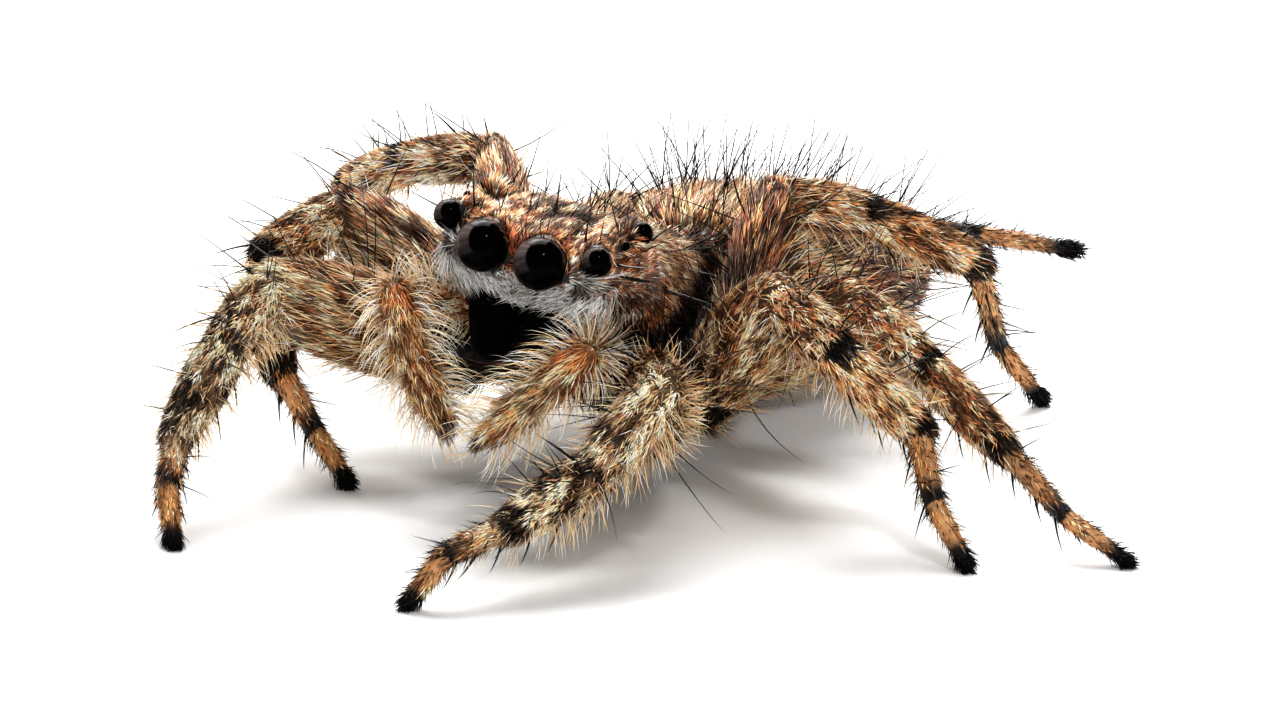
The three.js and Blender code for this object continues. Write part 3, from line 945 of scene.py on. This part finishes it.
def needles(spots, lie, length, width, lift, bend, rings=3):
    """Three-sided hairs: the angle to the skin starts at the lift and grows by the bend, in degrees."""
    n, p = spots.normals, spots.points
    across = np.cross(n, lie)
    lift, bend = np.radians(lift), np.radians(bend)
    path = [p - n * NEEDLE_ROOT]
    for k in range(rings):
        angle = (lift + bend * (k + 0.5) / rings)[:, None]
        path.append(path[-1] + (lie * np.cos(angle) + n * np.sin(angle)) * length[:, None] / rings)
    rows = []
    for k in range(rings):
        angle = (lift + bend * k / rings)[:, None]
        proud = n * np.cos(angle) - lie * np.sin(angle)
        half = width[:, None] / 2 * (1 - k / rings) ** NEEDLE_TAPER
        for corner in range(3):
            turned = corner * 2 * math.pi / 3 + math.pi / 2
            rows.append(path[k] + (across * math.cos(turned) + proud * math.sin(turned)) * half)
    rows.append(path[-1])
    faces = [(0, 1, 2)]
    for k in range(rings - 1):
        for c in range(3):
            a, b = 3 * k + c, 3 * k + (c + 1) % 3
            faces += [(a, a + 3, b), (b, a + 3, b + 3)]
    last = 3 * (rings - 1)
    faces += [(last + c, 3 * rings, last + (c + 1) % 3) for c in range(3)]
    # painted shading along each hair: shade at the root, rising to a painted highlight at the tip
    shade = np.append(np.repeat(np.linspace(0.5, 1.1, rings), 3), 1.3)
    place = [(0.4 * (c - 1), k / rings - 0.08 * (c == 1)) for k in range(rings) for c in range(3)]
    return np.stack(rows, 1), np.array(faces), shade, np.array(place + [(0, 1.0)])


# %% Coats: hairs gathered into pieces
PATCH = 0.003  # a hair's patch on the unwrap


def unwrap(spots):
    """A spot's place on an unwrap of the skin: across by its angle, along by its part and share."""
    rows = np.where(spots.part < 0, 1, 5)
    along = (np.maximum(spots.part, 0) + 0.02 + 0.96 * spots.t) / rows
    return np.stack((0.01 + 0.98 * (spots.angle / (2 * np.pi) + 0.5), 0.005 + 0.985 * along), 1)


class Coat:
    """Hairs of one piece: blocks of points, faces, tones and patches, joined at the end."""

    def __init__(self, name, slot, finish):
        self.name, self.slot, self.finish = name, slot, finish
        self.points, self.faces, self.tones, self.places, self.count = [], [], [], [], 0

    def add(self, spots, hairs, colours):
        points, faces, shade, place = hairs
        points = np.maximum(points, (-np.inf, -np.inf, 0.0))  # a hair lies along the floor
        hair_count, corners = points.shape[:2]
        start = self.count + np.arange(hair_count)[:, None, None] * corners
        self.points.append(points.reshape(-1, 3))
        self.faces.append((faces + start).reshape(-1, 3))
        self.tones.append((colours[:, None] * shade[:, None]).reshape(-1, 3))
        self.places.append((unwrap(spots)[:, None] + place * PATCH).reshape(-1, 2))
        self.count += hair_count * corners

    def build(self):
        faces = np.concatenate(self.faces)
        mesh = make_mesh(self.name, np.concatenate(self.points) * MM, faces)
        set_tone(mesh, np.clip(np.concatenate(self.tones), 0, 1))
        layer = mesh.uv_layers.new(name="OFBake")
        layer.uv.foreach_set("vector", np.concatenate(self.places)[faces.ravel()].astype(np.float32).ravel())
        mesh.materials.append(self.finish)
        piece = add_object(self.name, mesh)
        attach(piece, "root")
        print(self.name, len(faces), "triangles")
        return piece


def stretched(spots):
    """Places squeezed along each part, so that noise taken at them is drawn out that way."""
    along = FORM_ALONG[spots.form]
    reach = ((spots.points - FORM_START[spots.form]) * along).sum(1, keepdims=True)
    return spots.points - 0.7 * along * reach


def clumps(spots):
    """0 in the partings between tufts and 1 on the tufts."""
    places = stretched(spots)
    return step(0.3, 0.68, noise(places, 0.07, 31) * 0.55 + noise(places, 0.032, 32) * 0.45)


def draw_lots(spots):
    """Even numbers from 0 to 1, alike for the hairs of one tuft: the ranks of a fine noise."""
    level = noise(stretched(spots), 0.05, 33) + chance.normal(0, 0.17, len(spots.t))
    return (np.argsort(np.argsort(level)) + 0.5) / max(len(level), 1)


SHADE_HUE = np.array((1.0, 1.14, 1.28))  # above 1: green and blue fall off faster in the painted shade of the partings, so it comes out warmer


def draw_colours(spots, sharpen=1.0):
    """Each hair's colour: one of the palette drawn by the markings, with painted light on top of a tuft and
    painted shade in the partings.
    """
    weights = markings(spots) ** sharpen
    weights = weights / weights.sum(1, keepdims=True)
    drawn = (draw_lots(spots)[:, None] > np.cumsum(weights, axis=1)).sum(1)
    drawn = COLOURS[np.minimum(drawn, len(NAMES) - 1)]
    # painted light on the tufts and painted shade in the partings, with a little random spread
    bright = (0.2 + 1.2 * clumps(spots)) * (1 + chance.normal(0, 0.1, len(drawn)))
    return (0.8 * drawn + 0.2 * (weights @ COLOURS)) * bright[:, None] ** SHADE_HUE


def part_hairs(spots):
    """Thins the roots in the partings between tufts, where the dark skin shows."""
    return spots.pick(chance.random(len(spots.t)) < 0.55 + 0.45 * clumps(spots))


EYE_MARGIN = 1.02


def clear_of_eyes(points):
    """True for hairs none of whose points lies inside an eye."""
    clear = np.ones(len(points), bool)
    for _, _, centre, radius, _ in EYE_BALLS:
        clear &= (np.linalg.norm(points - centre, axis=2) > radius * EYE_MARGIN).all(1)
    return clear


def keep(spots, hairs, colours, chosen):
    points, faces, shade, place = hairs
    return spots.pick(chosen), (points[chosen], faces, shade, place), colours[chosen]


# %% [markdown]
# ## The coat, region by region
#
# For each region a row says how thick the hairs grow, how long and wide they are, and how far
# they stand off the skin. They are smallest on the face and feet. Over them all lie two sparser
# layers: soft standing hairs, and the long pale fringes of the feelers and of the legs' sides and
# undersides. The muzzle, the rims of the eyes and the feet have hairs of their own.

# %% The tables
# flat hairs: per square millimetre, length, width, lift in degrees, ruffle in radians
SCALE_TABLE = {
    "trunk": (2500, 0.22, 0.015, 12, 0.24),
    "abdomen": (1430, 0.34, 0.018, 16, 0.24),
    "pedicel": (200, 0.20, 0.025, 20, 0.30),
    "coxa": (250, 0.20, 0.024, 18, 0.30),
    "palp": (1900, 0.22, 0.0138, 18, 0.20),
    "spinneret": (500, 0.14, 0.018, 20, 0.30),
    "femur": (1950, 0.31, 0.0152, 11, 0.13),
    "patella": (2500, 0.19, 0.017, 15, 0.26),
    "tibia": (2400, 0.17, 0.0172, 14, 0.25),
    "metatarsus": (1000, 0.15, 0.014, 13, 0.20),
    "tarsus": (1100, 0.11, 0.014, 13, 0.22),
}
# soft standing hairs: per square millimetre, length, width, lift, bend, ruffle
SOFT_TABLE = {
    "trunk": (50, 0.26, 0.011, 26, -8, 0.40),
    "abdomen": (110, 0.44, 0.013, 34, -22, 0.35),
    "pedicel": (60, 0.30, 0.014, 40, -15, 0.40),
    "coxa": (50, 0.36, 0.014, 45, -20, 0.40),
    "palp": (60, 0.24, 0.012, 42, -25, 0.30),
    "spinneret": (120, 0.16, 0.011, 35, -10, 0.30),
    "femur": (60, 0.34, 0.013, 28, -14, 0.30),
    "patella": (45, 0.26, 0.013, 34, -12, 0.35),
    "tibia": (45, 0.24, 0.013, 34, -10, 0.35),
    "metatarsus": (60, 0.17, 0.010, 34, -8, 0.30),
    "tarsus": (150, 0.13, 0.010, 30, -8, 0.30),
}
# fringes: per square millimetre, length, width, lift, bend, ruffle
FRINGE_TABLE = {
    "coxa": (30, 0.42, 0.014, 55, -25, 0.40),
    "palp": (320, 0.50, 0.0155, 80, -64, 0.13),
    "femur": (60, 0.44, 0.014, 52, -25, 0.30),
    "patella": (95, 0.42, 0.015, 64, -22, 0.30),
    "tibia": (100, 0.38, 0.014, 68, -18, 0.30),
    "metatarsus": (40, 0.28, 0.012, 62, -16, 0.35),
}
# fine dark bristles: per square millimetre, length
SETA_TABLE = {
    "trunk": (10.0, 0.56),
    "abdomen": (13.0, 1.1),
    "femur": (11.0, 0.86),
    "patella": (14.0, 0.7),
    "tibia": (15.0, 0.56),
    "metatarsus": (16.0, 0.36),
    "tarsus": (12.0, 0.22),
}
# stout black bristles: per square millimetre, length
STOUT_TABLE = {"femur": (0.9, 0.55), "patella": (1.6, 0.45), "tibia": (1.2, 0.45), "abdomen": (0.25, 0.7)}


def columns(table, spots):
    """A table's columns, at each spot's region; nothing where there is no row."""
    nothing = (0.0,) * len(next(iter(table.values())))
    return np.array([table.get(name, nothing) for name in FORM_NAMES])[spots.form].T


def fine_face(spots):
    """How much shorter hairs are on the face: 0.55 in front, rising to 1 behind the rear eyes."""
    return np.where(spots.name == "trunk", 0.55 + 0.45 * step(0.5, 1.5, spots.head[:, 1]), 1.0)


def short_at_knee(spots):
    """How much shorter a femur's hairs are where it ends, so that none stands up past the knee."""
    return 1 - 0.6 * step(0.7, 0.95, spots.t) * (spots.name == "femur")


def bare(spots):
    """How thick the coat is: thin on the worn patch of each first femur, on feet, and under the rim, where
    shade is painted.
    """
    facing = step(0.5, 0.8, spots.normals @ (0, -0.6, -0.8))
    worn = facing * step(0.6, 0.72, spots.t) * (spots.name == "femur") * (spots.leg < 2)
    foot = np.isin(spots.name, ("metatarsus", "tarsus")) * (spots.leg > 1) * 0.6
    # thinned under the rim of the trunk so that the painted shade shows
    in_rim_shade = (spots.name == "trunk") * painted_rim_shade(spots) * 0.6
    return 1 - np.maximum(0.92 * worn, np.maximum(foot, in_rim_shade))


# %% Pieces
HEAD, REAR, BACK = 9, 10, 11  # the pieces after those of the legs and the feelers


def piece_of(spots):
    """The piece that a spot's hairs go to: a leg, the feelers, the head, the back or the abdomen."""
    rear = np.isin(spots.name, ("abdomen", "spinneret"))
    body = np.where(rear, REAR, np.where(spots.head[:, 1] > 0.9, BACK, HEAD))
    return np.where(spots.leg >= 0, np.minimum(spots.leg, FEELER), body)


LEG_NAMES = [f"{'left' if side > 0 else 'right'}_{pair}" for side, pair, *_ in LEGS]
coats = {n: Coat(f"coat_leg_{name}", "leg_coat", hair_finish) for n, name in enumerate(LEG_NAMES)}
coats[FEELER] = Coat("coat_palps", "palp_coat", hair_finish)
for number, name in ((HEAD, "head"), (REAR, "abdomen"), (BACK, "back")):
    coats[number] = Coat(f"coat_{name}", "coat", hair_finish)
bristles = Coat("bristles", "coat", bristle_finish)


def deal(spots, hairs, colours):
    """Shares hairs out to the pieces of the parts that they grow on."""
    clear = clear_of_eyes(hairs[0])
    owner = piece_of(spots)
    for number in np.unique(owner[clear]):
        coats[number].add(*keep(spots, hairs, colours, clear & (owner == number)))


def vary(count, low, high):
    return chance.uniform(low, high, count)


# %% Flat hairs
under = step(-0.3, -0.8, skin_spots.normals[:, 2])
under = 1 - 0.5 * under * np.isin(skin_spots.name, ("trunk", "abdomen"))
face = 1 + 1.2 * (skin_spots.name == "trunk") * step(1.4, 1.0, skin_spots.head[:, 1])
roots = part_hairs(scatter(columns(SCALE_TABLE, skin_spots)[0] * bare(skin_spots) * under * face))
count = len(roots.t)
_, length, width, lift, spread = columns(SCALE_TABLE, roots)
hairs = scales(
    roots,
    combed(roots, spread),
    length * vary(count, 0.7, 1.25) * fine_face(roots) * short_at_knee(roots),
    width * vary(count, 0.7, 1.2),
    lift * vary(count, 0.3, 1.8),
)
deal(roots, hairs, draw_colours(roots))
print(count, "flat hairs")

# %% Soft standing hairs
roots = scatter(columns(SOFT_TABLE, skin_spots)[0] * bare(skin_spots))
count = len(roots.t)
_, length, width, lift, bend, spread = columns(SOFT_TABLE, roots)
hairs = needles(
    roots,
    combed(roots, spread),
    length * vary(count, 0.6, 1.3) * fine_face(roots) * short_at_knee(roots),
    width * vary(count, 0.8, 1.2),
    lift + chance.normal(0, 11, count),
    bend + chance.normal(0, 9, count),
)
deal(roots, hairs, draw_colours(roots))
print(count, "soft hairs")

# %% Fringes


def pale_colours(spots):
    """White, cream or straw: the fringes are paler than the coat, and palest on the feelers."""
    lot = chance.random(len(spots.t)) + 0.22 * (spots.name == "palp")
    white, cream, straw = (NAMES.index(name) for name in ("white", "cream", "straw"))
    drawn = np.where(lot > 0.85, white, np.where(lot > 0.35, cream, straw))
    return COLOURS[drawn] * (1.05 + chance.normal(0, 0.1, len(drawn)))[:, None]


def fringe_density(spots):
    """Fringes are thin on the dorsal line of a leg, less so on the first pair, and on a feeler's front."""
    sides = 0.1 + 0.9 * step(0.75, 0.1, np.cos(spots.angle))
    sides = np.where(spots.leg < 2, 0.15 + 1.5 * sides, sides)
    front = spots.normals @ unit((0.35, -0.85, 0.4))
    sides = np.where(spots.name == "palp", 0.12 + 0.88 * step(0.85, 0.45, front), sides)
    return columns(FRINGE_TABLE, spots)[0] * sides


roots = scatter(fringe_density(skin_spots) * bare(skin_spots))
count = len(roots.t)
_, length, width, lift, bend, spread = columns(FRINGE_TABLE, roots)
hairs = needles(
    roots,
    combed(roots, spread),
    length * vary(count, 0.7, 1.2),
    width * vary(count, 0.8, 1.15),
    lift + chance.normal(0, 7, count),
    bend + chance.normal(0, 6, count),
    rings=5,
)
deal(roots, hairs, pale_colours(roots))
print(count, "fringe hairs")

# %% The muzzle and the cheeks
CHEEK_DENSITY, MUZZLE_DENSITY = 190, 900  # hairs to a square millimetre


def muzzle_density(spots):
    """Thick under the main eyes, thinner back over the cheeks, none on top of the head."""
    _, y, z = spots.head.T
    cheek = step(-0.05, -0.35, z) * step(1.6, 1.0, y) * step(-1.1, -0.9, z)
    both = CHEEK_DENSITY * cheek + MUZZLE_DENSITY * muzzle(folded(spots))
    return (spots.name == "trunk") * both


roots = scatter(muzzle_density(skin_spots))
count = len(roots.t)
hairs = needles(
    roots,
    combed(roots, 0.22),
    (0.22 + 0.1 * step(0.3, 1.0, np.abs(roots.head[:, 0]))) * vary(count, 0.6, 1.4),
    0.0125 * vary(count, 0.8, 1.3),
    22 + chance.normal(0, 9, count),
    -8 + chance.normal(0, 9, count),
)
white = muzzle(folded(roots))[:, None]
# the white strands carry painted light on the tufts and painted shade in the partings
strands = COLOURS[NAMES.index("white")] * (0.55 + 0.85 * clumps(roots) * vary(count, 0.7, 1.2))[:, None]
deal(roots, hairs, strands * white + draw_colours(roots, sharpen=1.5) * (1 - white))
print(count, "muzzle hairs")

# %% Rings round the eyes
RING_SHARES = {"main": 220, "side": 110, "tiny": 30, "rear": 90}


def ring_spots(centre, radius, look, count):
    """Roots on a circle behind the lens's middle, with normals that lean out and forward."""
    across, along, dorsal = frame_along(look)
    angle = np.linspace(0, 2 * np.pi, count, endpoint=False) + vary(count, -0.05, 0.05)
    outward = np.sin(angle)[:, None] * across + np.cos(angle)[:, None] * dorsal
    points = centre + outward * radius * 0.99 + along * radius * vary(count, -0.5, -0.1)[:, None]
    return Spots(points, unit(outward + 0.2 * along)), outward, along


for eye, (side, _), centre, radius, direction in EYE_BALLS:
    count = RING_SHARES[eye]
    spots, outward, along = ring_spots(centre, radius * 1.04, direction, count)
    around = np.cross(along, outward) * np.sign(outward @ HEAD_TURN[:, 2] + 0.3)[:, None] * -side
    leaning = flatten(along + 0.9 * around, spots.normals)
    hairs = needles(
        spots,
        ruffle(leaning, spots.normals, 0.3),
        (0.08 + 0.16 * radius) * vary(count, 0.7, 1.3),
        np.full(count, 0.013),
        vary(count, 12, 50),
        vary(count, -10, 15),
    )
    deal(spots, hairs, draw_colours(spots, sharpen=1.5))

# %% Dark down of the feet, and the claw tufts
# fine dark hairs edge the amber joints, and a brush of them under the last joint meets the floor
BLACK = COLOURS[NAMES.index("dark")] * 0.6
DOWN_TABLE = {"metatarsus": (230, 0.17), "tarsus": (260, 0.15)}  # per square millimetre, length
TUFT_DENSITY = 1900


def claw_tuft(spots):
    """1 at the tip of a tarsus, and 0 up to three quarters of its length."""
    return step(0.76, 0.86, spots.t) * (spots.name == "tarsus")


roots = scatter(columns(DOWN_TABLE, skin_spots)[0] + TUFT_DENSITY * claw_tuft(skin_spots))
count = len(roots.t)
hairs = needles(
    roots,
    combed(roots, 0.35),
    columns(DOWN_TABLE, roots)[1] * vary(count, 0.7, 1.3),
    0.011 * (1 + 0.9 * claw_tuft(roots)) * vary(count, 0.8, 1.2),
    42 - 10 * claw_tuft(roots) + chance.normal(0, 10, count),
    -16.0,
)
deal(roots, hairs, np.repeat(1.6 * BLACK[None], count, 0))
print(count, "hairs of the feet")

for coat in coats.values():
    coat.build()

# %% [markdown]
# ## Bristles
#
# Long black bristles stand up all over a jumping spider: it feels with them. The fine ones are
# sparse and slightly curved, longest on the abdomen and the tops of the legs. Stout ones stand by
# the eyes and along the legs, and paired spines arm the undersides of the front legs.

# %% Scattered bristles


def add_bristles(roots, lie, length, width, lift, bend):
    """Needles of five rings in black, kept clear of the eyes."""
    hairs = needles(roots, lie, length, width, lift, bend, rings=5)
    black = np.repeat(BLACK[None], len(roots.t), 0)
    bristles.add(*keep(roots, hairs, black, clear_of_eyes(hairs[0])))


faces_up = 0.06 + 0.94 * step(-0.3, 0.4, skin_spots.normals[:, 2])
for table, width, upright in ((SETA_TABLE, 0.018, (50, 84)), (STOUT_TABLE, 0.034, (35, 70))):
    roots = scatter(columns(table, skin_spots)[0] * faces_up)
    count = len(roots.t)
    lie, widths = combed(roots, 0.5), np.full(count, width)
    length = columns(table, roots)[1] * vary(count, 0.6, 1.5) * fine_face(roots)
    add_bristles(roots, lie, length, widths, vary(count, *upright), chance.normal(-14, 14, count))

# %% Spines under the legs
SPINE_STATIONS = (0.25, 0.6, 0.9)
SPINE_ANGLE = 2.55  # radians from the dorsal line
SPINE_WIDTH = 0.034


def surface_spots(form, shares, angles):
    """Spots on a limb's surface at shares of its length and angles round from its dorsal line."""
    across, along, dorsal = form.axes
    outward = np.sin(angles)[:, None] * across + np.cos(angles)[:, None] * dorsal
    points = form.a + along * shares[:, None] * form.length + outward * form.radius(shares)[:, None]
    return Spots(points, outward)


for form in forms:
    if form.name in ("tibia", "metatarsus"):
        shares = np.repeat(SPINE_STATIONS, 2)
        angles = np.tile((SPINE_ANGLE, -SPINE_ANGLE), len(SPINE_STATIONS))
        spots = surface_spots(form, shares, angles)
        count = len(shares)
        lie = flatten(np.broadcast_to(form.axes[1], (count, 3)), spots.normals)
        widths = np.full(count, SPINE_WIDTH)
        add_bristles(spots, lie, vary(count, 0.32, 0.44), widths, vary(count, 32, 48), -15.0)

# %% Bristles of the face
# place in the head's frame for the left side, direction, length and width
FACE_BRISTLES = (
    ((0.78, 0.30, 0.20), (0.45, -0.15, 0.75), 0.66, 0.032),
    ((0.68, 0.36, 0.24), (0.10, -0.10, 0.95), 0.56, 0.030),
    ((1.05, 0.34, 0.14), (0.95, -0.10, 0.25), 0.62, 0.036),
    ((1.06, 0.42, 0.05), (0.95, 0.05, 0.10), 0.54, 0.034),
    ((1.06, 0.48, -0.10), (0.55, 0.65, -0.42), 0.46, 0.032),
    ((1.08, 0.58, -0.14), (0.50, 0.75, -0.35), 0.42, 0.030),
    ((1.02, 1.16, 0.05), (0.55, 0.50, 0.65), 0.24, 0.026),
    ((1.05, 1.02, 0.00), (0.70, 0.30, 0.50), 0.22, 0.024),
    ((0.70, 1.15, 0.22), (-0.20, 0.45, 0.80), 0.30, 0.024),
    ((0.45, 0.95, 0.26), (0.10, 0.20, 0.90), 0.42, 0.014),
    ((0.15, 0.60, 0.27), (0.00, 0.15, 0.95), 0.40, 0.014),
    ((0.12, 0.10, 0.24), (0.05, -0.25, 0.90), 0.26, 0.016),
)
for side in (1, -1):
    places, outward, lengths, widths = (np.array(column) for column in zip(*FACE_BRISTLES))
    places = np.array([in_head(place, side) + SHIFT for place in places])
    outward = unit(outward * (side, 1, 1)) @ HEAD_TURN.T
    leaning = unit(np.cross(outward, np.cross(HEAD_TURN[:, 1], outward)))
    lengths = lengths * vary(len(places), 0.85, 1.1)
    bend = chance.normal(-18, 10, len(places))
    add_bristles(Spots(places, outward), leaning, lengths, widths, 90.0, bend)
bristles.build()

# %% [markdown]
# ## Eyes and jaws
#
# A jumping spider's eye is a smooth lens over a dark tube, so it looks like a bead of black
# glass, brown and streaked near its rim. Each is a ball with its pattern drawn on the ball's own
# directions, kept in an attribute, under a thin gloss.

# %% The eyes


def ball(centre, radius, look, rows=40, around=56):
    """A sphere from its two angles, with its pole along the look."""
    polar = np.linspace(0, np.pi, rows)
    return centre + radius * (spun(np.sin(polar), np.cos(polar), around) @ frame_along(look))


def make_eye_finish():
    """Black where the gaze points, grey-brown with radial streaks beside it, under a thin gloss."""
    material, tree, shader = new_material("eye glass", Roughness=0.08, IOR=1.13)
    local, parts = add_node(tree, "Attribute"), add_node(tree, "SeparateXYZ")
    local.attribute_name = "gaze"
    rim = add_node(tree, "MapRange", From_Min=0.74, From_Max=0.67)
    upper = add_node(tree, "MapRange", From_Min=-0.45, From_Max=0.35)
    flat, ray = add_node(tree, "CombineXYZ"), add_node(tree, "VectorMath")
    ray.operation = "NORMALIZE"
    noisy = add_node(tree, "TexNoise", Scale=4, Detail=4)
    streaks = add_node(tree, "MapRange", From_Min=0.35, From_Max=0.65, To_Min=0.25)
    crescent, amount = add_node(tree, "Math"), add_node(tree, "Math")
    crescent.operation = amount.operation = "MULTIPLY"
    tint = add_node(tree, "Mix")
    tint.data_type = "RGBA"
    set_inputs(tint, A=(0.0008, 0.0007, 0.0006, 1), B=(0.19, 0.155, 0.145, 1))
    wire(
        tree,
        (local, "Vector", parts, "Vector"),
        (parts, "Y", rim, "Value"),
        (parts, "Z", upper, "Value"),
        (parts, "X", flat, "X"),
        (parts, "Z", flat, "Z"),
        (flat, "Vector", ray, 0),
        (ray, "Vector", noisy, "Vector"),
        (noisy, "Fac", streaks, "Value"),
        (rim, "Result", crescent, 0),
        (upper, "Result", crescent, 1),
        (crescent, "Value", amount, 0),
        (streaks, "Result", amount, 1),
        (amount, "Value", tint, "Factor"),
        (tint, "Result", shader, "Base Color"),
    )
    return material


GAZE = (0.645, -0.58, 0.5)  # where the retinas are turned: the spider glances up and to its left
eye_finish = make_eye_finish()
for eye, (_, side_name), centre, radius, direction in EYE_BALLS:
    points = ball(centre, radius, direction)
    local = (points - centre) / radius @ frame_along(GAZE).T
    mesh_points, quads = closed_grid(points)
    mesh = make_mesh(f"lens_{eye}_{side_name}", mesh_points * MM, quads[:, ::-1])
    gaze = mesh.attributes.new("gaze", "FLOAT_VECTOR", "POINT")
    gaze.data.foreach_set("vector", local.astype(np.float32).ravel())
    mesh.materials.append(eye_finish)
    lens = add_object(f"lens_{eye}_{side_name}", mesh)
    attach(lens, "root")
    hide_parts(f"eye_{eye}_{side_name}")

# %% The jaws


def make_jaw_finish():
    """Dark shell with a faint brown grain and a dull gloss."""
    material, tree, shader = new_material("jaw shell", Roughness=0.6, Specular_IOR_Level=0.04)
    grain = add_grain(tree, Colour=(0.002, 0.0016, 0.0014, 1), Scale=6000, Strength=0.9)
    wire(tree, (grain, "Colour", shader, "Base Color"))
    return material


jaw_finish = make_jaw_finish()
top, foot, radius, foot_radius = CHELICERA
for side, side_name in SIDES:
    jaw = Limb("jaw", in_head(top, side) + SHIFT, in_head(foot, side) + SHIFT, (radius, radius, foot_radius))
    points, quads = closed_grid(jaw.grid(24, 32, 8))
    mesh = make_mesh(f"jaw_{side_name}", points * MM, quads)
    mesh.materials.append(jaw_finish)
    piece = add_object(f"jaw_{side_name}", mesh)
    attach(piece, "root")
    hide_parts(f"chelicera_{side_name}")

# %% [markdown]
# ## Floor, light and camera
#
# A pale floor, an even sky and one large soft lamp, high up and a little behind, give soft shadows
# under the body. A weaker one low in front fills the face and isn't mirrored in the eyes, and a
# small one puts a glint in them. The camera looks down on the face from the spider's left with a
# long lens.

# %% Floor and light
scene = bpy.context.scene
scene.view_settings.view_transform = "Standard"
scene.view_settings.look = "High Contrast"
FLOOR_HALF = 0.4
corners = np.array(((-1, -1, 0), (1, -1, 0), (1, 1, 0), (-1, 1, 0))) * FLOOR_HALF
floor = add_object("floor", make_mesh("floor", corners, np.array(((0, 1, 2, 3),)), smooth=False))
floor.data.materials.append(new_material("pale floor", Base_Color=(0.9, 0.9, 0.9, 1), Roughness=0.9)[0])

world = bpy.data.worlds.new("bright sky")
world.use_nodes = True
set_inputs(world.node_tree.nodes["Background"], Color=(1, 1, 1, 1), Strength=0.23)
scene.world = world


def place_at(thing, x, y, z, place):
    """Stands an object at a place with the three axes given."""
    columns = np.column_stack((x, y, z, place))
    thing.matrix_world = Matrix(np.vstack((columns, (0, 0, 0, 1))).tolist())


def add_lamp(name, place, size, power, mirrored=True):
    """A square soft lamp at a place in metres, turned to look at the origin."""
    lamp = bpy.data.lights.new(name, "AREA")
    lamp.size, lamp.energy = size, power
    away = unit(np.array(place))
    x = unit(np.cross((0.0, 0.0, 1.0), away))
    thing = add_object(name, lamp)
    thing.visible_glossy = mirrored
    place_at(thing, x, np.cross(away, x), away, place)


# %% The camera
AZIMUTH, ELEVATION = 32.0, 16.5
DISTANCE = 120.0
PIXELS_PER_MM = 96.0
FRAME_WIDTH, FRAME_HEIGHT = 1280, 720
SENSOR_WIDTH = 36
FACE_PIXEL = (510.5, 518.6)  # where the floor under the face shows in the frame

a, e = math.radians(AZIMUTH), math.radians(ELEVATION)
back = np.array((math.sin(a) * math.cos(e), -math.cos(a) * math.cos(e), math.sin(e)))
right = np.array((math.cos(a), math.sin(a), 0.0))
up = np.cross(back, right)
aim = (FRAME_WIDTH / 2 - FACE_PIXEL[0]) * right - (FRAME_HEIGHT / 2 - FACE_PIXEL[1]) * up
aim = aim / PIXELS_PER_MM + SHIFT
lens = bpy.data.cameras.new("camera")
lens.sensor_width = SENSOR_WIDTH
lens.lens = SENSOR_WIDTH * DISTANCE * PIXELS_PER_MM / FRAME_WIDTH
lens.clip_start, lens.clip_end = 0.01, 5
camera = add_object("camera", lens)
place_at(camera, right, up, back, (aim + back * DISTANCE) * MM)
scene.camera = camera

# %% The lamps
# each one's place is given by its shares of the camera's right, up and back
add_lamp("key", (-0.01 * right + 0.17 * up - 0.07 * back), 0.14, 0.48)
add_lamp("fill", (0.03 * right + 0.01 * up + 0.17 * back), 0.12, 0.12, mirrored=False)
add_lamp("glint", (0.035 * right + 0.09 * up + 0.1 * back), 0.016, 0.032)
